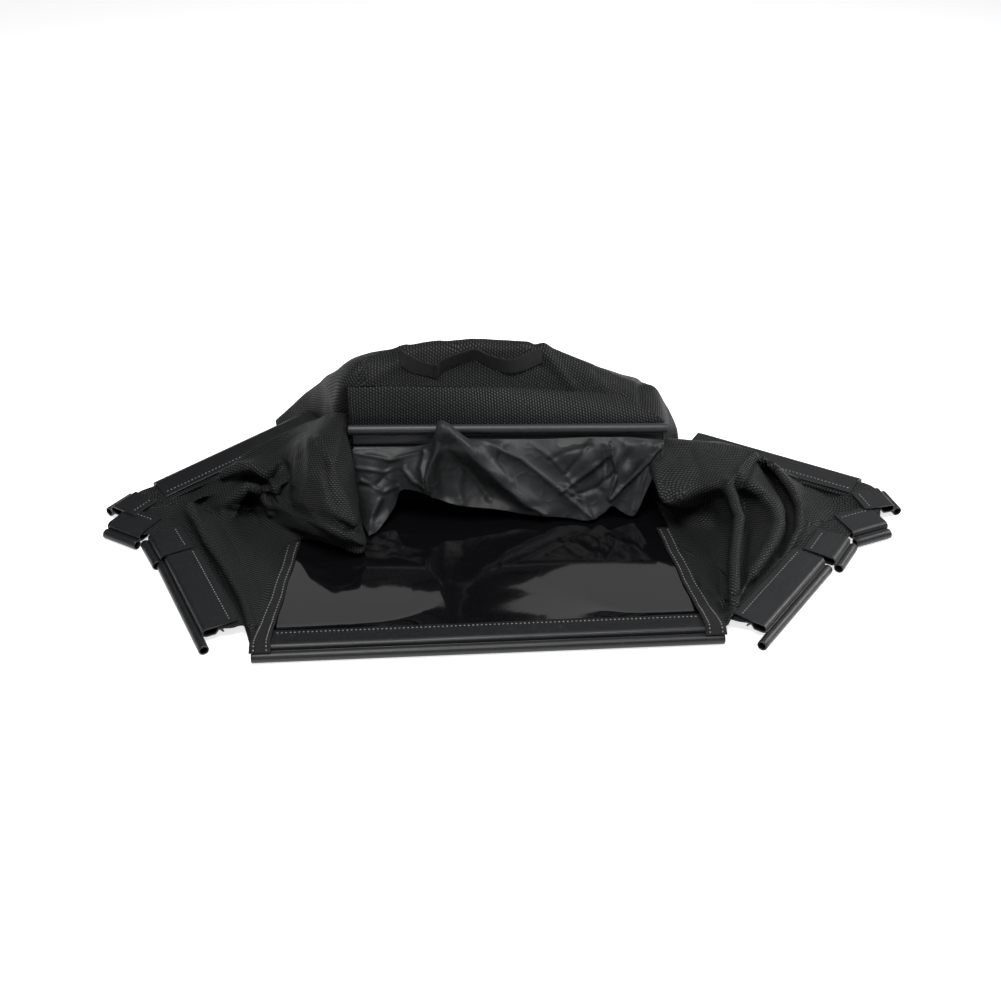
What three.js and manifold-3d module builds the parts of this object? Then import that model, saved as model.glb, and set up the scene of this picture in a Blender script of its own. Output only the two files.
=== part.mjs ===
// Replacement collection bag of a walk-behind lawn mower, lying collapsed with its mouth to the front.
// Millimetres, +Z up, X to the right, Y to the back. The sewn panels are thin closed shells, and the rim
// is a loop of extruded plastic channels that clip over the mower's wire frame.
import * as THREE from 'three';
import { mergeVertices } from 'three/addons/utils/BufferGeometryUtils.js';
import Module from 'manifold-3d';

const wasm = await Module();
wasm.setup();

// Driving dimensions: the channel extrusion
const TUBE_OD = 11;
const TUBE_BORE = 8;
const SHEET = 1.4;               // wall of the sewing plate and of the hook
const PLATE_WIDTH = 30;          // from the hook's bend to the sewn edge
const HOOK_RADIUS = 5;           // outside radius of the bend round the frame wire
const HOOK_OUT = 9;              // bend centre, inward of the tube's centre
const HOOK_UP = 6;               // bend centre, above the tube's centre
const LIP_LENGTH = 9;            // lower lip of the hook
const BARB_RUN = 4;              // half width of the barb
const BARB_RISE = 4.6;
const WEB_WIDTH = 2.6;           // web that joins tube and hook
const TUBE_OVERHANG = 18;        // bare tube past the plate at a free end
const SEW_OVERLAP = 10;          // cloth that lies under a plate
const LEAVE = 4;                 // the cloth rises this far past the plate's edge

// Driving dimensions: cloth
const CLOTH = 1.2;               // knitted mesh and vinyl
const NYLON = 0.8;
const WEBBING = 1.2;
const FIT = 0.3;                 // clearance between sewn layers
const PLATE_FIT = 0.5;           // clearance between a side panel and the plate it is sewn to
const SEAM_GAP = 0.8;            // gap between two panel edges that share a seam
const BINDING_WIDTH = 14;
const BINDING_END = { left: 122, right: 176 };  // where the bindings run in under the cloth
const HANDLE_WIDTH = 22;
const VINYL_MARGIN = 4;          // vinyl past the side seam

// Driving dimensions: lengths and places of the rim
const BOTTOM_LENGTH = 474;
const BOTTOM_ROLL = -14.5;         // degrees; the sewn edge dips
const LOWER_LENGTH = 158;
const CORNER_LENGTH = 46;
const NARROW_LENGTH = 36;
const UPPER_LENGTH = 205;
const TOP_LENGTH = 360;
const TOP_HEIGHT = 95;           // centre of the top channel's tube
const TOP_SETBACK = 274;         // from the bottom tube to the top tube
const TOP_SHIFT = 36;            // middle of the top channel, right of the bottom channel's middle
const TOP_HEADING = -2.9;        // degrees
const TOP_ROLL = -100;           // degrees; the plate hangs down

// Driving dimensions: body
const BAG_DEPTH = 484;           // how far the vinyl runs back from the bottom tube
const SEAM_STAND = 3;            // the vinyl's side seams start this far past the bottom channel's ends
const SEAM_TAPER = 65;           // each seam runs in by this much towards the back
const RIDGE_HEIGHT = 178;        // top of the mound
const RIDGE_SETBACK = 333;
const HEM_SETBACK = 306;

const SEAM_FRONT = BOTTOM_LENGTH / 2 + SEAM_STAND;  // half width of the vinyl at its front
const SEAM_REAR = SEAM_FRONT - SEAM_TAPER;

const INK = 0x202224;
const rad = THREE.MathUtils.degToRad;
const vec = (x, y, z) => new THREE.Vector3(x, y, z);

// Materials
const plastic = () => new THREE.MeshStandardMaterial({ color: 0x303234, roughness: 0.45, metalness: 0 });
const mesh = () => new THREE.MeshStandardMaterial({ color: 0x1b1d1e, roughness: 0.9, metalness: 0 });
const vinyl = () => new THREE.MeshStandardMaterial({ color: 0x0c0d0e, roughness: 0.12, metalness: 0 });
const nylon = () => new THREE.MeshStandardMaterial({ color: INK, roughness: 0.35, metalness: 0 });
const webbing = () => new THREE.MeshStandardMaterial({ color: 0x17191a, roughness: 0.85, metalness: 0 });

const model = new THREE.Group();

// Boolean joins
function toSolid(geometry) {
  const g = geometry.clone();
  g.deleteAttribute('normal');
  g.deleteAttribute('uv');
  const merged = mergeVertices(g, 1e-5);
  return new wasm.Manifold(new wasm.Mesh({
    numProp: 3,
    vertProperties: new Float32Array(merged.attributes.position.array),
    triVerts: new Uint32Array(merged.index.array),
  }));
}

function toGeometry(solid) {
  const m = solid.getMesh();
  const g = new THREE.BufferGeometry();
  g.setAttribute('position', new THREE.BufferAttribute(new Float32Array(m.vertProperties), 3));
  g.setIndex(new THREE.BufferAttribute(new Uint32Array(m.triVerts), 1));
  g.computeVertexNormals();
  return g;
}

// Channel extrusion. Its own frame has X along the tube's centreline, Y towards the sewn edge and Z from
// the tube up to the plate.
const PLATE_TOP = HOOK_UP + HOOK_RADIUS;
const PLATE_EDGE = HOOK_OUT + PLATE_WIDTH;
const SEW_LINE = PLATE_EDGE - SEW_OVERLAP;

function alongX(shape, from, to, segments) {
  const g = new THREE.ExtrudeGeometry(shape, { depth: to - from, bevelEnabled: false, curveSegments: segments });
  return g.applyMatrix4(new THREE.Matrix4().set(0, 0, 1, from, 1, 0, 0, 0, 0, 1, 0, 0, 0, 0, 0, 1));
}

// Closed outline of a bent sheet: a centreline thickened by half the wall on each side, with mitred bends.
function sheetOutline(line, wall) {
  const offset = (side) => line.map((p, i) => {
    const before = line[Math.max(i - 1, 0)], after = line[Math.min(i + 1, line.length - 1)];
    const a = p.clone().sub(before), b = after.clone().sub(p);
    if (i === 0) a.copy(b);
    if (i === line.length - 1) b.copy(a);
    a.normalize();
    b.normalize();
    const bisector = a.clone().add(b).normalize();
    const reach = (side * wall) / 2 / Math.max(bisector.dot(a), 0.5);
    return new THREE.Vector2(p.x - bisector.y * reach, p.y + bisector.x * reach);
  });
  return new THREE.Shape([...offset(1), ...offset(-1).reverse()]);
}

function channelGeometry(length, bareStart, bareEnd) {
  const wallRadius = HOOK_RADIUS - SHEET / 2;
  const line = [new THREE.Vector2(PLATE_EDGE, HOOK_UP + wallRadius)];
  const bendSteps = 6;
  for (let i = 0; i <= bendSteps; i++) {
    const angle = Math.PI / 2 + (Math.PI * i) / bendSteps;
    line.push(new THREE.Vector2(HOOK_OUT + wallRadius * Math.cos(angle), HOOK_UP + wallRadius * Math.sin(angle)));
  }
  const lip = new THREE.Vector2(HOOK_OUT + LIP_LENGTH, HOOK_UP - wallRadius);
  line.push(lip, new THREE.Vector2(lip.x + BARB_RUN, lip.y + BARB_RISE), new THREE.Vector2(lip.x + 2 * BARB_RUN, lip.y));
  const hook = sheetOutline(line, SHEET);

  const ring = new THREE.Shape().absarc(0, 0, TUBE_OD / 2, 0, 2 * Math.PI);
  ring.holes.push(new THREE.Path().absarc(0, 0, TUBE_BORE / 2, 0, 2 * Math.PI, true));

  const toHook = new THREE.Vector2(HOOK_OUT, HOOK_UP);
  const span = toHook.length();
  toHook.normalize();
  const side = new THREE.Vector2(-toHook.y, toHook.x).multiplyScalar(WEB_WIDTH / 2);
  const webFrom = toHook.clone().multiplyScalar((TUBE_OD + TUBE_BORE) / 4);
  const webTo = toHook.clone().multiplyScalar(span - HOOK_RADIUS + SHEET / 2);
  const web = new THREE.Shape([
    webFrom.clone().sub(side), webTo.clone().sub(side), webTo.clone().add(side), webFrom.clone().add(side),
  ]);

  const solids = [
    toSolid(alongX(ring, 0, length, 8)),
    toSolid(alongX(hook, bareStart, length - bareEnd, 1)),
    toSolid(alongX(web, bareStart, length - bareEnd, 1)),
  ];
  return toGeometry(solids[0].add(solids[1]).add(solids[2]));
}

// A placed channel: its mesh, and at(along, y, z), which turns a place in its own frame into the model's.
function channel(name, from, to, roll, bareStart, bareEnd) {
  const x = to.clone().sub(from);
  const length = x.length();
  x.normalize();
  const y = vec(0, 0, 1).cross(x).normalize();
  const z = x.clone().cross(y);
  const frame = new THREE.Matrix4().makeBasis(x, y, z);
  const node = new THREE.Mesh(channelGeometry(length, bareStart, bareEnd), plastic());
  node.name = name;
  node.position.copy(from);
  node.quaternion.setFromRotationMatrix(frame);
  node.rotateX(rad(roll));
  node.updateMatrix();
  model.add(node);
  return { node, length, at: (along, py, pz) => vec(along, py, pz).applyMatrix4(node.matrix) };
}

// Rim of one side, from the bottom channel to the back. Each piece starts where the piece before it ends,
// moved by `ahead` along that piece and by `out` away from the bag.
const FLOOR_LINE = TUBE_OD / 2;
const lifted = SHEET + FIT;      // the narrow corner piece lies on its neighbours' plates
const SIDES = {
  right: {
    sign: 1,
    pieces: [
      { name: 'lower_channel', length: LOWER_LENGTH, heading: 51, ahead: 35, out: 14, bareStart: TUBE_OVERHANG },
      { name: 'corner_channel_1', length: CORNER_LENGTH, heading: 55, ahead: 7, out: 9 },
      { name: 'corner_channel_2', length: CORNER_LENGTH, heading: 20, ahead: 9, out: -1 },
      { name: 'corner_channel_3', length: NARROW_LENGTH, heading: 102, ahead: 33, out: -30, lift: lifted },
      { name: 'upper_channel', length: UPPER_LENGTH, heading: 146, ahead: 31, out: -11 },
    ],
  },
  left: {
    sign: -1,
    pieces: [
      { name: 'lower_channel', length: LOWER_LENGTH, heading: 67, ahead: 48, out: -14, bareStart: TUBE_OVERHANG },
      { name: 'corner_channel_1', length: CORNER_LENGTH, heading: 65, ahead: 2, out: 4 },
      { name: 'corner_channel_2', length: CORNER_LENGTH, heading: 33, ahead: 2, out: 8 },
      { name: 'corner_channel_3', length: NARROW_LENGTH, heading: 127, ahead: 24, out: -32, lift: lifted },
      { name: 'upper_channel', length: UPPER_LENGTH, heading: 151, ahead: 32, out: -4, rise: 33 },
    ],
  },
};

const bottom = channel('bottom_channel', vec(-BOTTOM_LENGTH / 2, 0, FLOOR_LINE), vec(BOTTOM_LENGTH / 2, 0, FLOOR_LINE),
  BOTTOM_ROLL, TUBE_OVERHANG, TUBE_OVERHANG);

function buildRim(sideName) {
  const { sign, pieces } = SIDES[sideName];
  const mirror = (p) => vec(sign * p.x, p.y, p.z);
  let end = vec(BOTTOM_LENGTH / 2, 0, FLOOR_LINE);
  let heading = 0;
  const placed = [];
  for (const piece of pieces) {
    const back = vec(Math.cos(heading), Math.sin(heading), 0);
    const away = vec(Math.sin(heading), -Math.cos(heading), 0);
    const start = end.clone().addScaledVector(back, piece.ahead).addScaledVector(away, piece.out);
    start.z = FLOOR_LINE + (piece.lift ?? 0);
    heading = rad(piece.heading);
    const rise = piece.rise ?? 0;
    const run = Math.sqrt(piece.length ** 2 - rise ** 2);
    end = start.clone().add(vec(run * Math.cos(heading), run * Math.sin(heading), rise));
    const bare = [piece.bareStart ?? 0, 0];
    if (sign < 0) bare.reverse();
    const ends = sign > 0 ? [start, end] : [mirror(end), mirror(start)];
    const one = channel(`${sideName}_${piece.name}`, ...ends, 0, ...bare);
    // Two places under the plate, `fraction` of the way along from the front: the cloth's sewn edge, and
    // where the cloth leaves the plate
    one.sew = (fraction) => {
      const along = (piece.bareStart ?? 0) + fraction * (piece.length - (piece.bareStart ?? 0));
      const x = sign > 0 ? along : piece.length - along;
      const under = PLATE_TOP - (piece.lift ?? 0) - SHEET - PLATE_FIT - CLOTH / 2;
      return [one.at(x, SEW_LINE, under), one.at(x, PLATE_EDGE + LEAVE, under - 3 * FIT)];
    };
    placed.push(one);
  }
  return placed;
}

const rims = { right: buildRim('right'), left: buildRim('left') };

// Top channel, held up by the cloth, with its plate hanging down
const topDirection = vec(Math.cos(rad(TOP_HEADING)), Math.sin(rad(TOP_HEADING)), 0);
const topMiddle = vec(TOP_SHIFT, TOP_SETBACK, TOP_HEIGHT);
const top = channel('top_channel',
  topMiddle.clone().addScaledVector(topDirection, -TOP_LENGTH / 2),
  topMiddle.clone().addScaledVector(topDirection, TOP_LENGTH / 2), TOP_ROLL, 5, 5);

// Cloth panels
const lerp = (a, b, t) => a + (b - a) * t;
const smooth = (t) => { const c = Math.min(Math.max(t, 0), 1); return c * c * (3 - 2 * c); };

// Catmull-Rom curve through points, uniform in the points' index
function spline(points, t) {
  const last = points.length - 1;
  const i = Math.min(Math.floor(t * last), last - 1);
  const f = t * last - i;
  const p = (k) => points[k];
  const before = i > 0 ? p(i - 1) : p(0).clone().multiplyScalar(2).sub(p(1));
  const after = i + 2 <= last ? p(i + 2) : p(last).clone().multiplyScalar(2).sub(p(last - 1));
  const out = vec(0, 0, 0);
  for (const axis of ['x', 'y', 'z']) {
    const [a, b, c, d] = [before[axis], p(i)[axis], p(i + 1)[axis], after[axis]];
    out[axis] = 0.5 * (2 * b + (c - a) * f + (2 * a - 5 * b + 4 * c - d) * f * f + (3 * b - a - 3 * c + d) * f ** 3);
  }
  return out;
}

// Grid of places on the smooth surface through rows of control points
function sample(rows, across, along) {
  const grid = [];
  for (let i = 0; i <= across; i++) {
    const column = rows[0].map((_, k) => spline(rows.map((row) => row[k]), i / across));
    grid.push(Array.from({ length: along + 1 }, (_, j) => spline(column, j / along)));
  }
  return grid;
}

// Closed shell of even thickness on a grid
function shell(name, grid, thickness, material) {
  const rows = grid.length, columns = grid[0].length;
  const normal = (i, j) => {
    const a = grid[Math.min(i + 1, rows - 1)][j].clone().sub(grid[Math.max(i - 1, 0)][j]);
    const b = grid[i][Math.min(j + 1, columns - 1)].clone().sub(grid[i][Math.max(j - 1, 0)]);
    return a.cross(b).normalize();
  };
  const positions = [];
  for (const side of [0.5, -0.5]) {
    for (let i = 0; i < rows; i++) {
      for (let j = 0; j < columns; j++) {
        const p = grid[i][j].clone().addScaledVector(normal(i, j), side * thickness);
        positions.push(p.x, p.y, p.z);
      }
    }
  }
  const at = (side, i, j) => side * rows * columns + i * columns + j;
  const index = [];
  const quad = (a, b, c, d) => index.push(a, b, c, a, c, d);
  for (let i = 0; i < rows - 1; i++) {
    for (let j = 0; j < columns - 1; j++) {
      quad(at(0, i, j), at(0, i + 1, j), at(0, i + 1, j + 1), at(0, i, j + 1));
      quad(at(1, i, j), at(1, i, j + 1), at(1, i + 1, j + 1), at(1, i + 1, j));
    }
  }
  for (let i = 0; i < rows - 1; i++) {
    quad(at(0, i, 0), at(1, i, 0), at(1, i + 1, 0), at(0, i + 1, 0));
    quad(at(0, i, columns - 1), at(0, i + 1, columns - 1), at(1, i + 1, columns - 1), at(1, i, columns - 1));
  }
  for (let j = 0; j < columns - 1; j++) {
    quad(at(0, 0, j), at(0, 0, j + 1), at(1, 0, j + 1), at(1, 0, j));
    quad(at(0, rows - 1, j), at(1, rows - 1, j), at(1, rows - 1, j + 1), at(0, rows - 1, j + 1));
  }
  const g = new THREE.BufferGeometry();
  g.setAttribute('position', new THREE.BufferAttribute(new Float32Array(positions), 3));
  g.setIndex(index);
  g.computeVertexNormals();
  const node = new THREE.Mesh(g, material);
  node.name = name;
  model.add(node);
  return node;
}

// Vinyl bottom: sewn under the bottom plate, then down to the floor and back under the body
const vinylFront = bottom.at(0, SEW_LINE, PLATE_TOP - SHEET - FIT - CLOTH / 2);
const plateInner = bottom.at(0, PLATE_EDGE, PLATE_TOP - SHEET - FIT - CLOTH / 2);
const RAMP_END = 80;
const vinylHeight = (y) => {
  if (y <= plateInner.y) return lerp(vinylFront.z, plateInner.z, (y - vinylFront.y) / (plateInner.y - vinylFront.y));
  return lerp(plateInner.z, CLOTH / 2, smooth((y - plateInner.y) / (RAMP_END - plateInner.y)));
};
const seamX = (y) => lerp(SEAM_FRONT, SEAM_REAR, y / BAG_DEPTH);
const ramp = (f) => lerp(plateInner.y, RAMP_END, f);
const vinylRows = [vinylFront.y, plateInner.y, ramp(0.3), ramp(0.65), RAMP_END, 130, 200, 300, BAG_DEPTH];
shell('bottom_panel', vinylRows.map((y) => [-1, -0.5, 0, 0.5, 1].map((f) => vec(f * (seamX(y) + VINYL_MARGIN), y, vinylHeight(y)))),
  CLOTH, vinyl());

// Side panels. Each row of places starts at the rim, crosses the slack cloth and runs back inside the body;
// the first row is the seam along the vinyl, and the last row is the upper edge. Of the six slack places of
// a row, the first three are measured out from the bottom channel's end and the others from the middle.
const onVinyl = CLOTH + 2 * FIT;
function sidePanel(sideName, folds) {
  const { sign } = SIDES[sideName];
  const rim = rims[sideName];
  const corner = bottom.at(sign > 0 ? BOTTOM_LENGTH : 0, 0, 0);
  const tip = vec(corner.x + sign * 2, vinylFront.y - 4, vinylFront.z + onVinyl);
  const starts = [
    [tip, tip.clone().add(vec(-sign, 12, -1))], rim[0].sew(0.02), rim[0].sew(0.5), rim[0].sew(1), rim[1].sew(1),
    rim[2].sew(0.1), rim[2].sew(0.78), rim[3].sew(0.9), rim[4].sew(0.01), rim[4].sew(0.5), rim[4].sew(1),
  ];
  const outer = (i, k) => (i > 0 && k < 3 ? BOTTOM_LENGTH / 2 : 0);
  const rows = starts.map((start, i) => [...start, ...folds[i].map(([x, y, z], k) => vec(sign * (outer(i, k) + x), y, z))]);
  const grid = sample(rows, 40, 14);
  for (const p of grid[0]) {
    if (p.y > plateInner.y) p.x = sign * seamX(p.y);
    p.z = vinylHeight(Math.max(p.y, vinylFront.y)) + onVinyl;
  }
  shell(`${sideName}_side_panel`, grid, CLOTH, mesh());
}

const seamRow = [70, 100, 140, 190, 260, 400].map((y) => [seamX(y), y, 2]);
sidePanel('right', [
  seamRow,
  [[21, 66, 19], [29, 116, 28], [18, 168, 36], [222, 202, 24], [205, 300, 8], [186, 400, 10]],
  [[47, 98, 21], [45, 134, 22], [25, 172, 40], [212, 200, 34], [206, 300, 13], [186, 400, 14]],
  [[81, 132, 27], [57, 152, 18], [34, 180, 50], [203, 204, 44], [210, 300, 18], [186, 400, 18]],
  [[115, 172, 33], [81, 184, 24], [43, 198, 58], [202, 216, 60], [214, 300, 22], [186, 400, 22]],
  [[135, 190, 20], [97, 196, 30], [53, 209, 61], [206, 223, 65], [216, 300, 25], [186, 400, 25]],
  [[147, 210, 15], [110, 212, 36], [63, 220, 64], [212, 230, 70], [218, 300, 28], [186, 400, 28]],
  [[153, 234, 18], [110, 238, 46], [66, 238, 78], [222, 242, 76], [222, 300, 36], [186, 400, 34]],
  [[147, 252, 24], [103, 256, 52], [66, 252, 82], [228, 256, 78], [226, 298, 44], [186, 400, 40]],
  [[81, 292, 40], [67, 278, 64], [43, 268, 83], [236, 272, 80], [226, 300, 50], [186, 400, 46]],
  [[37, 330, 44], [29, 316, 60], [17, 302, 74], [238, 290, 76], [222, 306, 54], [186, 400, 52]],
]);

sidePanel('left', [
  seamRow,
  [[17, 84, 18], [3, 140, 24], [-39, 192, 20], [140, 208, 20], [160, 320, 12], [150, 400, 10]],
  [[33, 128, 26], [9, 158, 24], [-39, 188, 30], [138, 212, 34], [158, 322, 18], [148, 400, 14]],
  [[51, 166, 31], [19, 178, 26], [-25, 190, 40], [143, 220, 46], [156, 324, 24], [148, 400, 20]],
  [[69, 208, 38], [35, 216, 26], [-7, 216, 50], [148, 232, 60], [154, 326, 30], [148, 400, 26]],
  [[89, 230, 24], [49, 232, 29], [3, 233, 49], [150, 240, 66], [153, 327, 34], [147, 400, 28]],
  [[105, 246, 16], [63, 248, 32], [11, 250, 48], [152, 248, 72], [152, 328, 38], [146, 400, 30]],
  [[97, 262, 13], [53, 268, 38], [-5, 268, 64], [154, 264, 78], [152, 328, 42], [146, 398, 34]],
  [[81, 278, 20], [33, 286, 50], [-31, 284, 82], [156, 282, 84], [152, 328, 46], [146, 398, 38]],
  [[17, 330, 48], [-11, 312, 66], [-47, 298, 86], [154, 296, 90], [150, 328, 50], [146, 396, 42]],
  [[-45, 352, 52], [-51, 336, 68], [-67, 316, 88], [150, 303, 100], [150, 326, 54], [146, 394, 46]],
]);

// Doubled hem between the top channel and the top panel
const hemAt = (fraction, y) => top.at(fraction * TOP_LENGTH, y, PLATE_TOP + FIT + CLOTH / 2);
const hemLeft = vec(-138, HEM_SETBACK, 0.766 * RIDGE_HEIGHT), hemRight = vec(162, HEM_SETBACK + 3, 0.65 * RIDGE_HEIGHT);
const hemSeam = (f) => hemLeft.clone().lerp(hemRight, f).add(vec(0, 2 * Math.sin(Math.PI * f), 3 * Math.sin(Math.PI * f)));
const hemRows = [0, 0.2, 0.4, 0.6, 0.8, 1].map((f) => {
  const along = lerp(0.02, 0.98, f);
  const low = hemAt(along, SEW_LINE), mid = hemAt(along, HOOK_OUT), bend = hemAt(along, -4), high = hemSeam(f);
  return [low, mid, bend, bend.clone().lerp(high, 0.5).add(vec(0, -2, 2)), high];
});
shell('top_hem_panel', sample(hemRows, 10, 9), CLOTH, mesh());

// Top panel: from the hem seam up to the ridge
const ridgeLeft = vec(-84, RIDGE_SETBACK, RIDGE_HEIGHT - 3), ridgeRight = vec(86, RIDGE_SETBACK, RIDGE_HEIGHT - 6);
const ridge = (f) => ridgeLeft.clone().lerp(ridgeRight, f).add(vec(0, 0, 4 * Math.sin(Math.PI * f)));
const topRows = [0, 0.25, 0.5, 0.75, 1].map((f) => {
  const low = hemSeam(f), high = ridge(f);
  const up = high.clone().sub(low).normalize();
  low.addScaledVector(up, SEAM_GAP + CLOTH / 2);
  return [low, low.clone().lerp(high, 0.35).add(vec(0, -3, 2)), low.clone().lerp(high, 0.7).add(vec(0, -3, 3)), high];
});
shell('top_panel', sample(topRows, 10, 7), CLOTH, mesh());

// Rear panel: from the ridge and the sides of the top panel down to the floor, behind and beside the mound.
// Each section has its front edge, its crest and its foot.
const H = RIDGE_HEIGHT;
const rearSections = [
  [[-237, 432, 4], [-241, 450, 12], [-236, 468, 2]],
  [[-210, 420, 6], [-211, 440, 45], [-212, 476, 2]],
  [[-176, 384, 12], [-187, 430, 68], [-188, 480, 2]],
  [[-151, 330, 74], [-163, 408, 99], [-165, 480, 2]],
  [[-140, 312, 0.72 * H], [-130, 378, 0.765 * H], [-135, 480, 2]],
  [[-113, 321, 0.875 * H], [-97, 352, 0.915 * H], [-100, 480, 2]],
  [[-84, 335, H - 2], [-72, 346, H - 5], [-70, 480, 2]],
  [[0, 335, H + 2], [0, 346, H - 2], [0, 480, 2]],
  [[86, 335, H - 5], [74, 346, H - 7], [70, 480, 2]],
  [[126, 322, 0.82 * H], [112, 346, 0.87 * H], [110, 480, 2]],
  [[167, 313, 0.645 * H], [152, 347, 0.725 * H], [150, 480, 2]],
  [[190, 308, 86], [184, 350, 100], [186, 478, 2]],
  [[212, 322, 62], [212, 352, 82], [216, 470, 2]],
  [[232, 330, 34], [236, 351, 48], [238, 448, 2]],
  [[238, 340, 5], [247, 354, 15], [246, 415, 2]],
];
const rearRows = rearSections.map(([edge, crest, foot]) => {
  const [e, c, f] = [edge, crest, foot].map((p) => vec(...p));
  const front = e.clone().lerp(c, 0.5).add(vec(0, -0.04 * (c.y - e.y), 0.12 * Math.abs(c.z - e.z)));
  const back = vec(lerp(c.x, f.x, 0.5), lerp(c.y, f.y, 0.62), 0.66 * c.z);
  const bulge = vec(f.x, f.y + 14, 0.2 * c.z);
  return [e, front, c, back, bulge, f];
});
const rearGrid = sample(rearRows, 30, 12);
for (const row of rearGrid) {
  for (const p of row) p.z = Math.max(p.z, CLOTH + FIT + CLOTH / 2);
}
shell('rear_panel', rearGrid, CLOTH, mesh());

// Thin dust flap, sewn to the front of the hanging plate and crumpled down into the mouth
const flapTop = (x) => {
  const along = (x - top.at(0, 0, 0).x) / Math.cos(rad(TOP_HEADING));
  return top.at(along, PLATE_EDGE - 0.7 * SEW_OVERLAP, PLATE_TOP - SHEET - FIT - NYLON / 2);
};
const flapColumns = [
  [-130, [[-132, 262, 50], [-133, 240, 37], [-131, 216, 22], [-127, 197, 6]]],
  [-96, [[-98, 262, 58], [-97, 245, 58], [-92, 232, 51], [-88, 222, 45]]],
  [-60, [[-59, 262, 60], [-57, 246, 66], [-55, 234, 60], [-54, 225, 48]]],
  [-31, [[-31, 262, 66], [-30, 251, 107], [-27, 240, 78], [-21, 227, 42]]],
  [10, [[10, 260, 64], [8, 247, 86], [13, 236, 58], [15, 226, 28]]],
  [60, [[58, 257, 60], [56, 244, 68], [62, 229, 40], [68, 219, 13]]],
  [110, [[108, 254, 56], [106, 238, 52], [112, 223, 30], [118, 213, 11]]],
  [152, [[152, 252, 56], [150, 240, 54], [147, 230, 38], [141, 222, 21]]],
  [190, [[190, 255, 56], [190, 247, 54], [186, 241, 47], [180, 235, 37]]],
];
const flapRows = flapColumns.map(([x, rest]) => [flapTop(x), ...rest.map((p) => vec(...p))]);
shell('dust_flap', sample(flapRows, 24, 12), NYLON, nylon());

// Webbing bindings along the vinyl's side seams, on the vinyl just inside the mesh
for (const [name, sign] of [['left', -1], ['right', 1]]) {
  const rows = [vinylFront.y, plateInner.y, ramp(0.3), ramp(0.65), RAMP_END, BINDING_END[name]].map((y) => [SEAM_GAP + BINDING_WIDTH, SEAM_GAP].map(
    (inset) => vec(sign * (seamX(y) - inset), y, vinylHeight(y) + CLOTH / 2 + FIT + WEBBING / 2)));
  shell(`${name}_seam_binding`, rows, WEBBING, webbing());
}

// Carrying strap: a loose band along the front of the ridge, sewn at its two ends
const belowRidge = (x, ahead, below) => vec(x, RIDGE_SETBACK - ahead, RIDGE_HEIGHT - below);
const strapPath = [belowRidge(-52, 30, 24), belowRidge(-8, 34, 12), belowRidge(34, 32, 18)];
const strapUp = vec(0, 0.5, 0.87).normalize();
const onTop = (x, t, lift) => {
  const f = (x - lerp(hemLeft.x, ridgeLeft.x, t)) / lerp(hemRight.x - hemLeft.x, ridgeRight.x - ridgeLeft.x, t);
  const place = (a, b) => spline(topRows.map((row) => spline(row, b)), a);
  const p = place(f, t);
  const normal = place(f + 0.02, t).sub(place(f - 0.02, t)).cross(place(f, t + 0.02).sub(place(f, t - 0.02))).normalize();
  return p.addScaledVector(normal, CLOTH / 2 + 1.4 * FIT + WEBBING / 2 + lift);
};
const tab = (x, low, lift) => [low, low + 0.21, low + 0.42].map((t) => onTop(x, t, lift));
const strapRows = [
  tab(-78, 0.53, 0), tab(-69, 0.5, 1.5),
  ...strapPath.map((p) => [-0.5, 0, 0.5].map((f) => p.clone().addScaledVector(strapUp, f * HANDLE_WIDTH))),
  tab(64, 0.48, 1.5), tab(76, 0.48, 0),
];
shell('handle_strap', sample(strapRows, 20, 2), WEBBING, webbing());

// Origin at the bottom centre of the whole bag
const part = new THREE.Group();
part.add(model);
const box = new THREE.Box3().setFromObject(model, true);
const middle = box.getCenter(vec(0, 0, 0));
model.position.set(-middle.x, -middle.y, -box.min.z);

export default part;
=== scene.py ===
"""Grass collection bag of a walk-behind mower, lying collapsed with its mouth to the front."""
import math

import bpy
import numpy as np
from mathutils import Matrix, Vector


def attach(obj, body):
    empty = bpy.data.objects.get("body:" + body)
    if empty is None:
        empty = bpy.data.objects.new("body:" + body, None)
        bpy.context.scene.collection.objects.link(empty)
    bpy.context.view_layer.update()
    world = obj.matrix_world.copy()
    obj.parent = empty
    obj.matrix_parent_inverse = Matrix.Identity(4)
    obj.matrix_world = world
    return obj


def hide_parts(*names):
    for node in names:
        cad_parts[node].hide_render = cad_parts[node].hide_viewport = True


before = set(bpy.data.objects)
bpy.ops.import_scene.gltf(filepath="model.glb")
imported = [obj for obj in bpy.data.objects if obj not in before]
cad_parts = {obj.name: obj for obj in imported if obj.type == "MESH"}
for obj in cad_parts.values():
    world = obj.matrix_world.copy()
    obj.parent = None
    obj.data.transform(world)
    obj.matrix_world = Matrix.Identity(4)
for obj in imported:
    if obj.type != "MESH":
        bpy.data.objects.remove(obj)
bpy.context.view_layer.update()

# Millimetres throughout. The bag is laid out from the middle of its bottom channel: X to the right,
# Y to the back, Z up from the floor. BAG_AT is that middle in the part's own frame.
BAG_AT = np.array([-29.25, -239.74, 0.0])


def metres(p):
    """A place on the bag, in millimetres, as metres in the part's frame."""
    return (np.asarray(p, float) + BAG_AT) / 1000.0


# Camera
FRAME_SIDE = 1001.0
FOCAL = 1390.0
ELEVATION = math.radians(34.0)
HEADING = math.radians(-3.6)
RIGHT = np.array([math.cos(HEADING), math.sin(HEADING), 0.0])
BACK = np.array([math.sin(HEADING) * math.cos(ELEVATION),
                 -math.cos(HEADING) * math.cos(ELEVATION),
                 math.sin(ELEVATION)])
UP = np.cross(RIGHT, -BACK)
MIDDLE = FRAME_SIDE / 2
SENSOR = 36.0
EYE = np.array([-56.7, -1068.4, 905.1])


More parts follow.
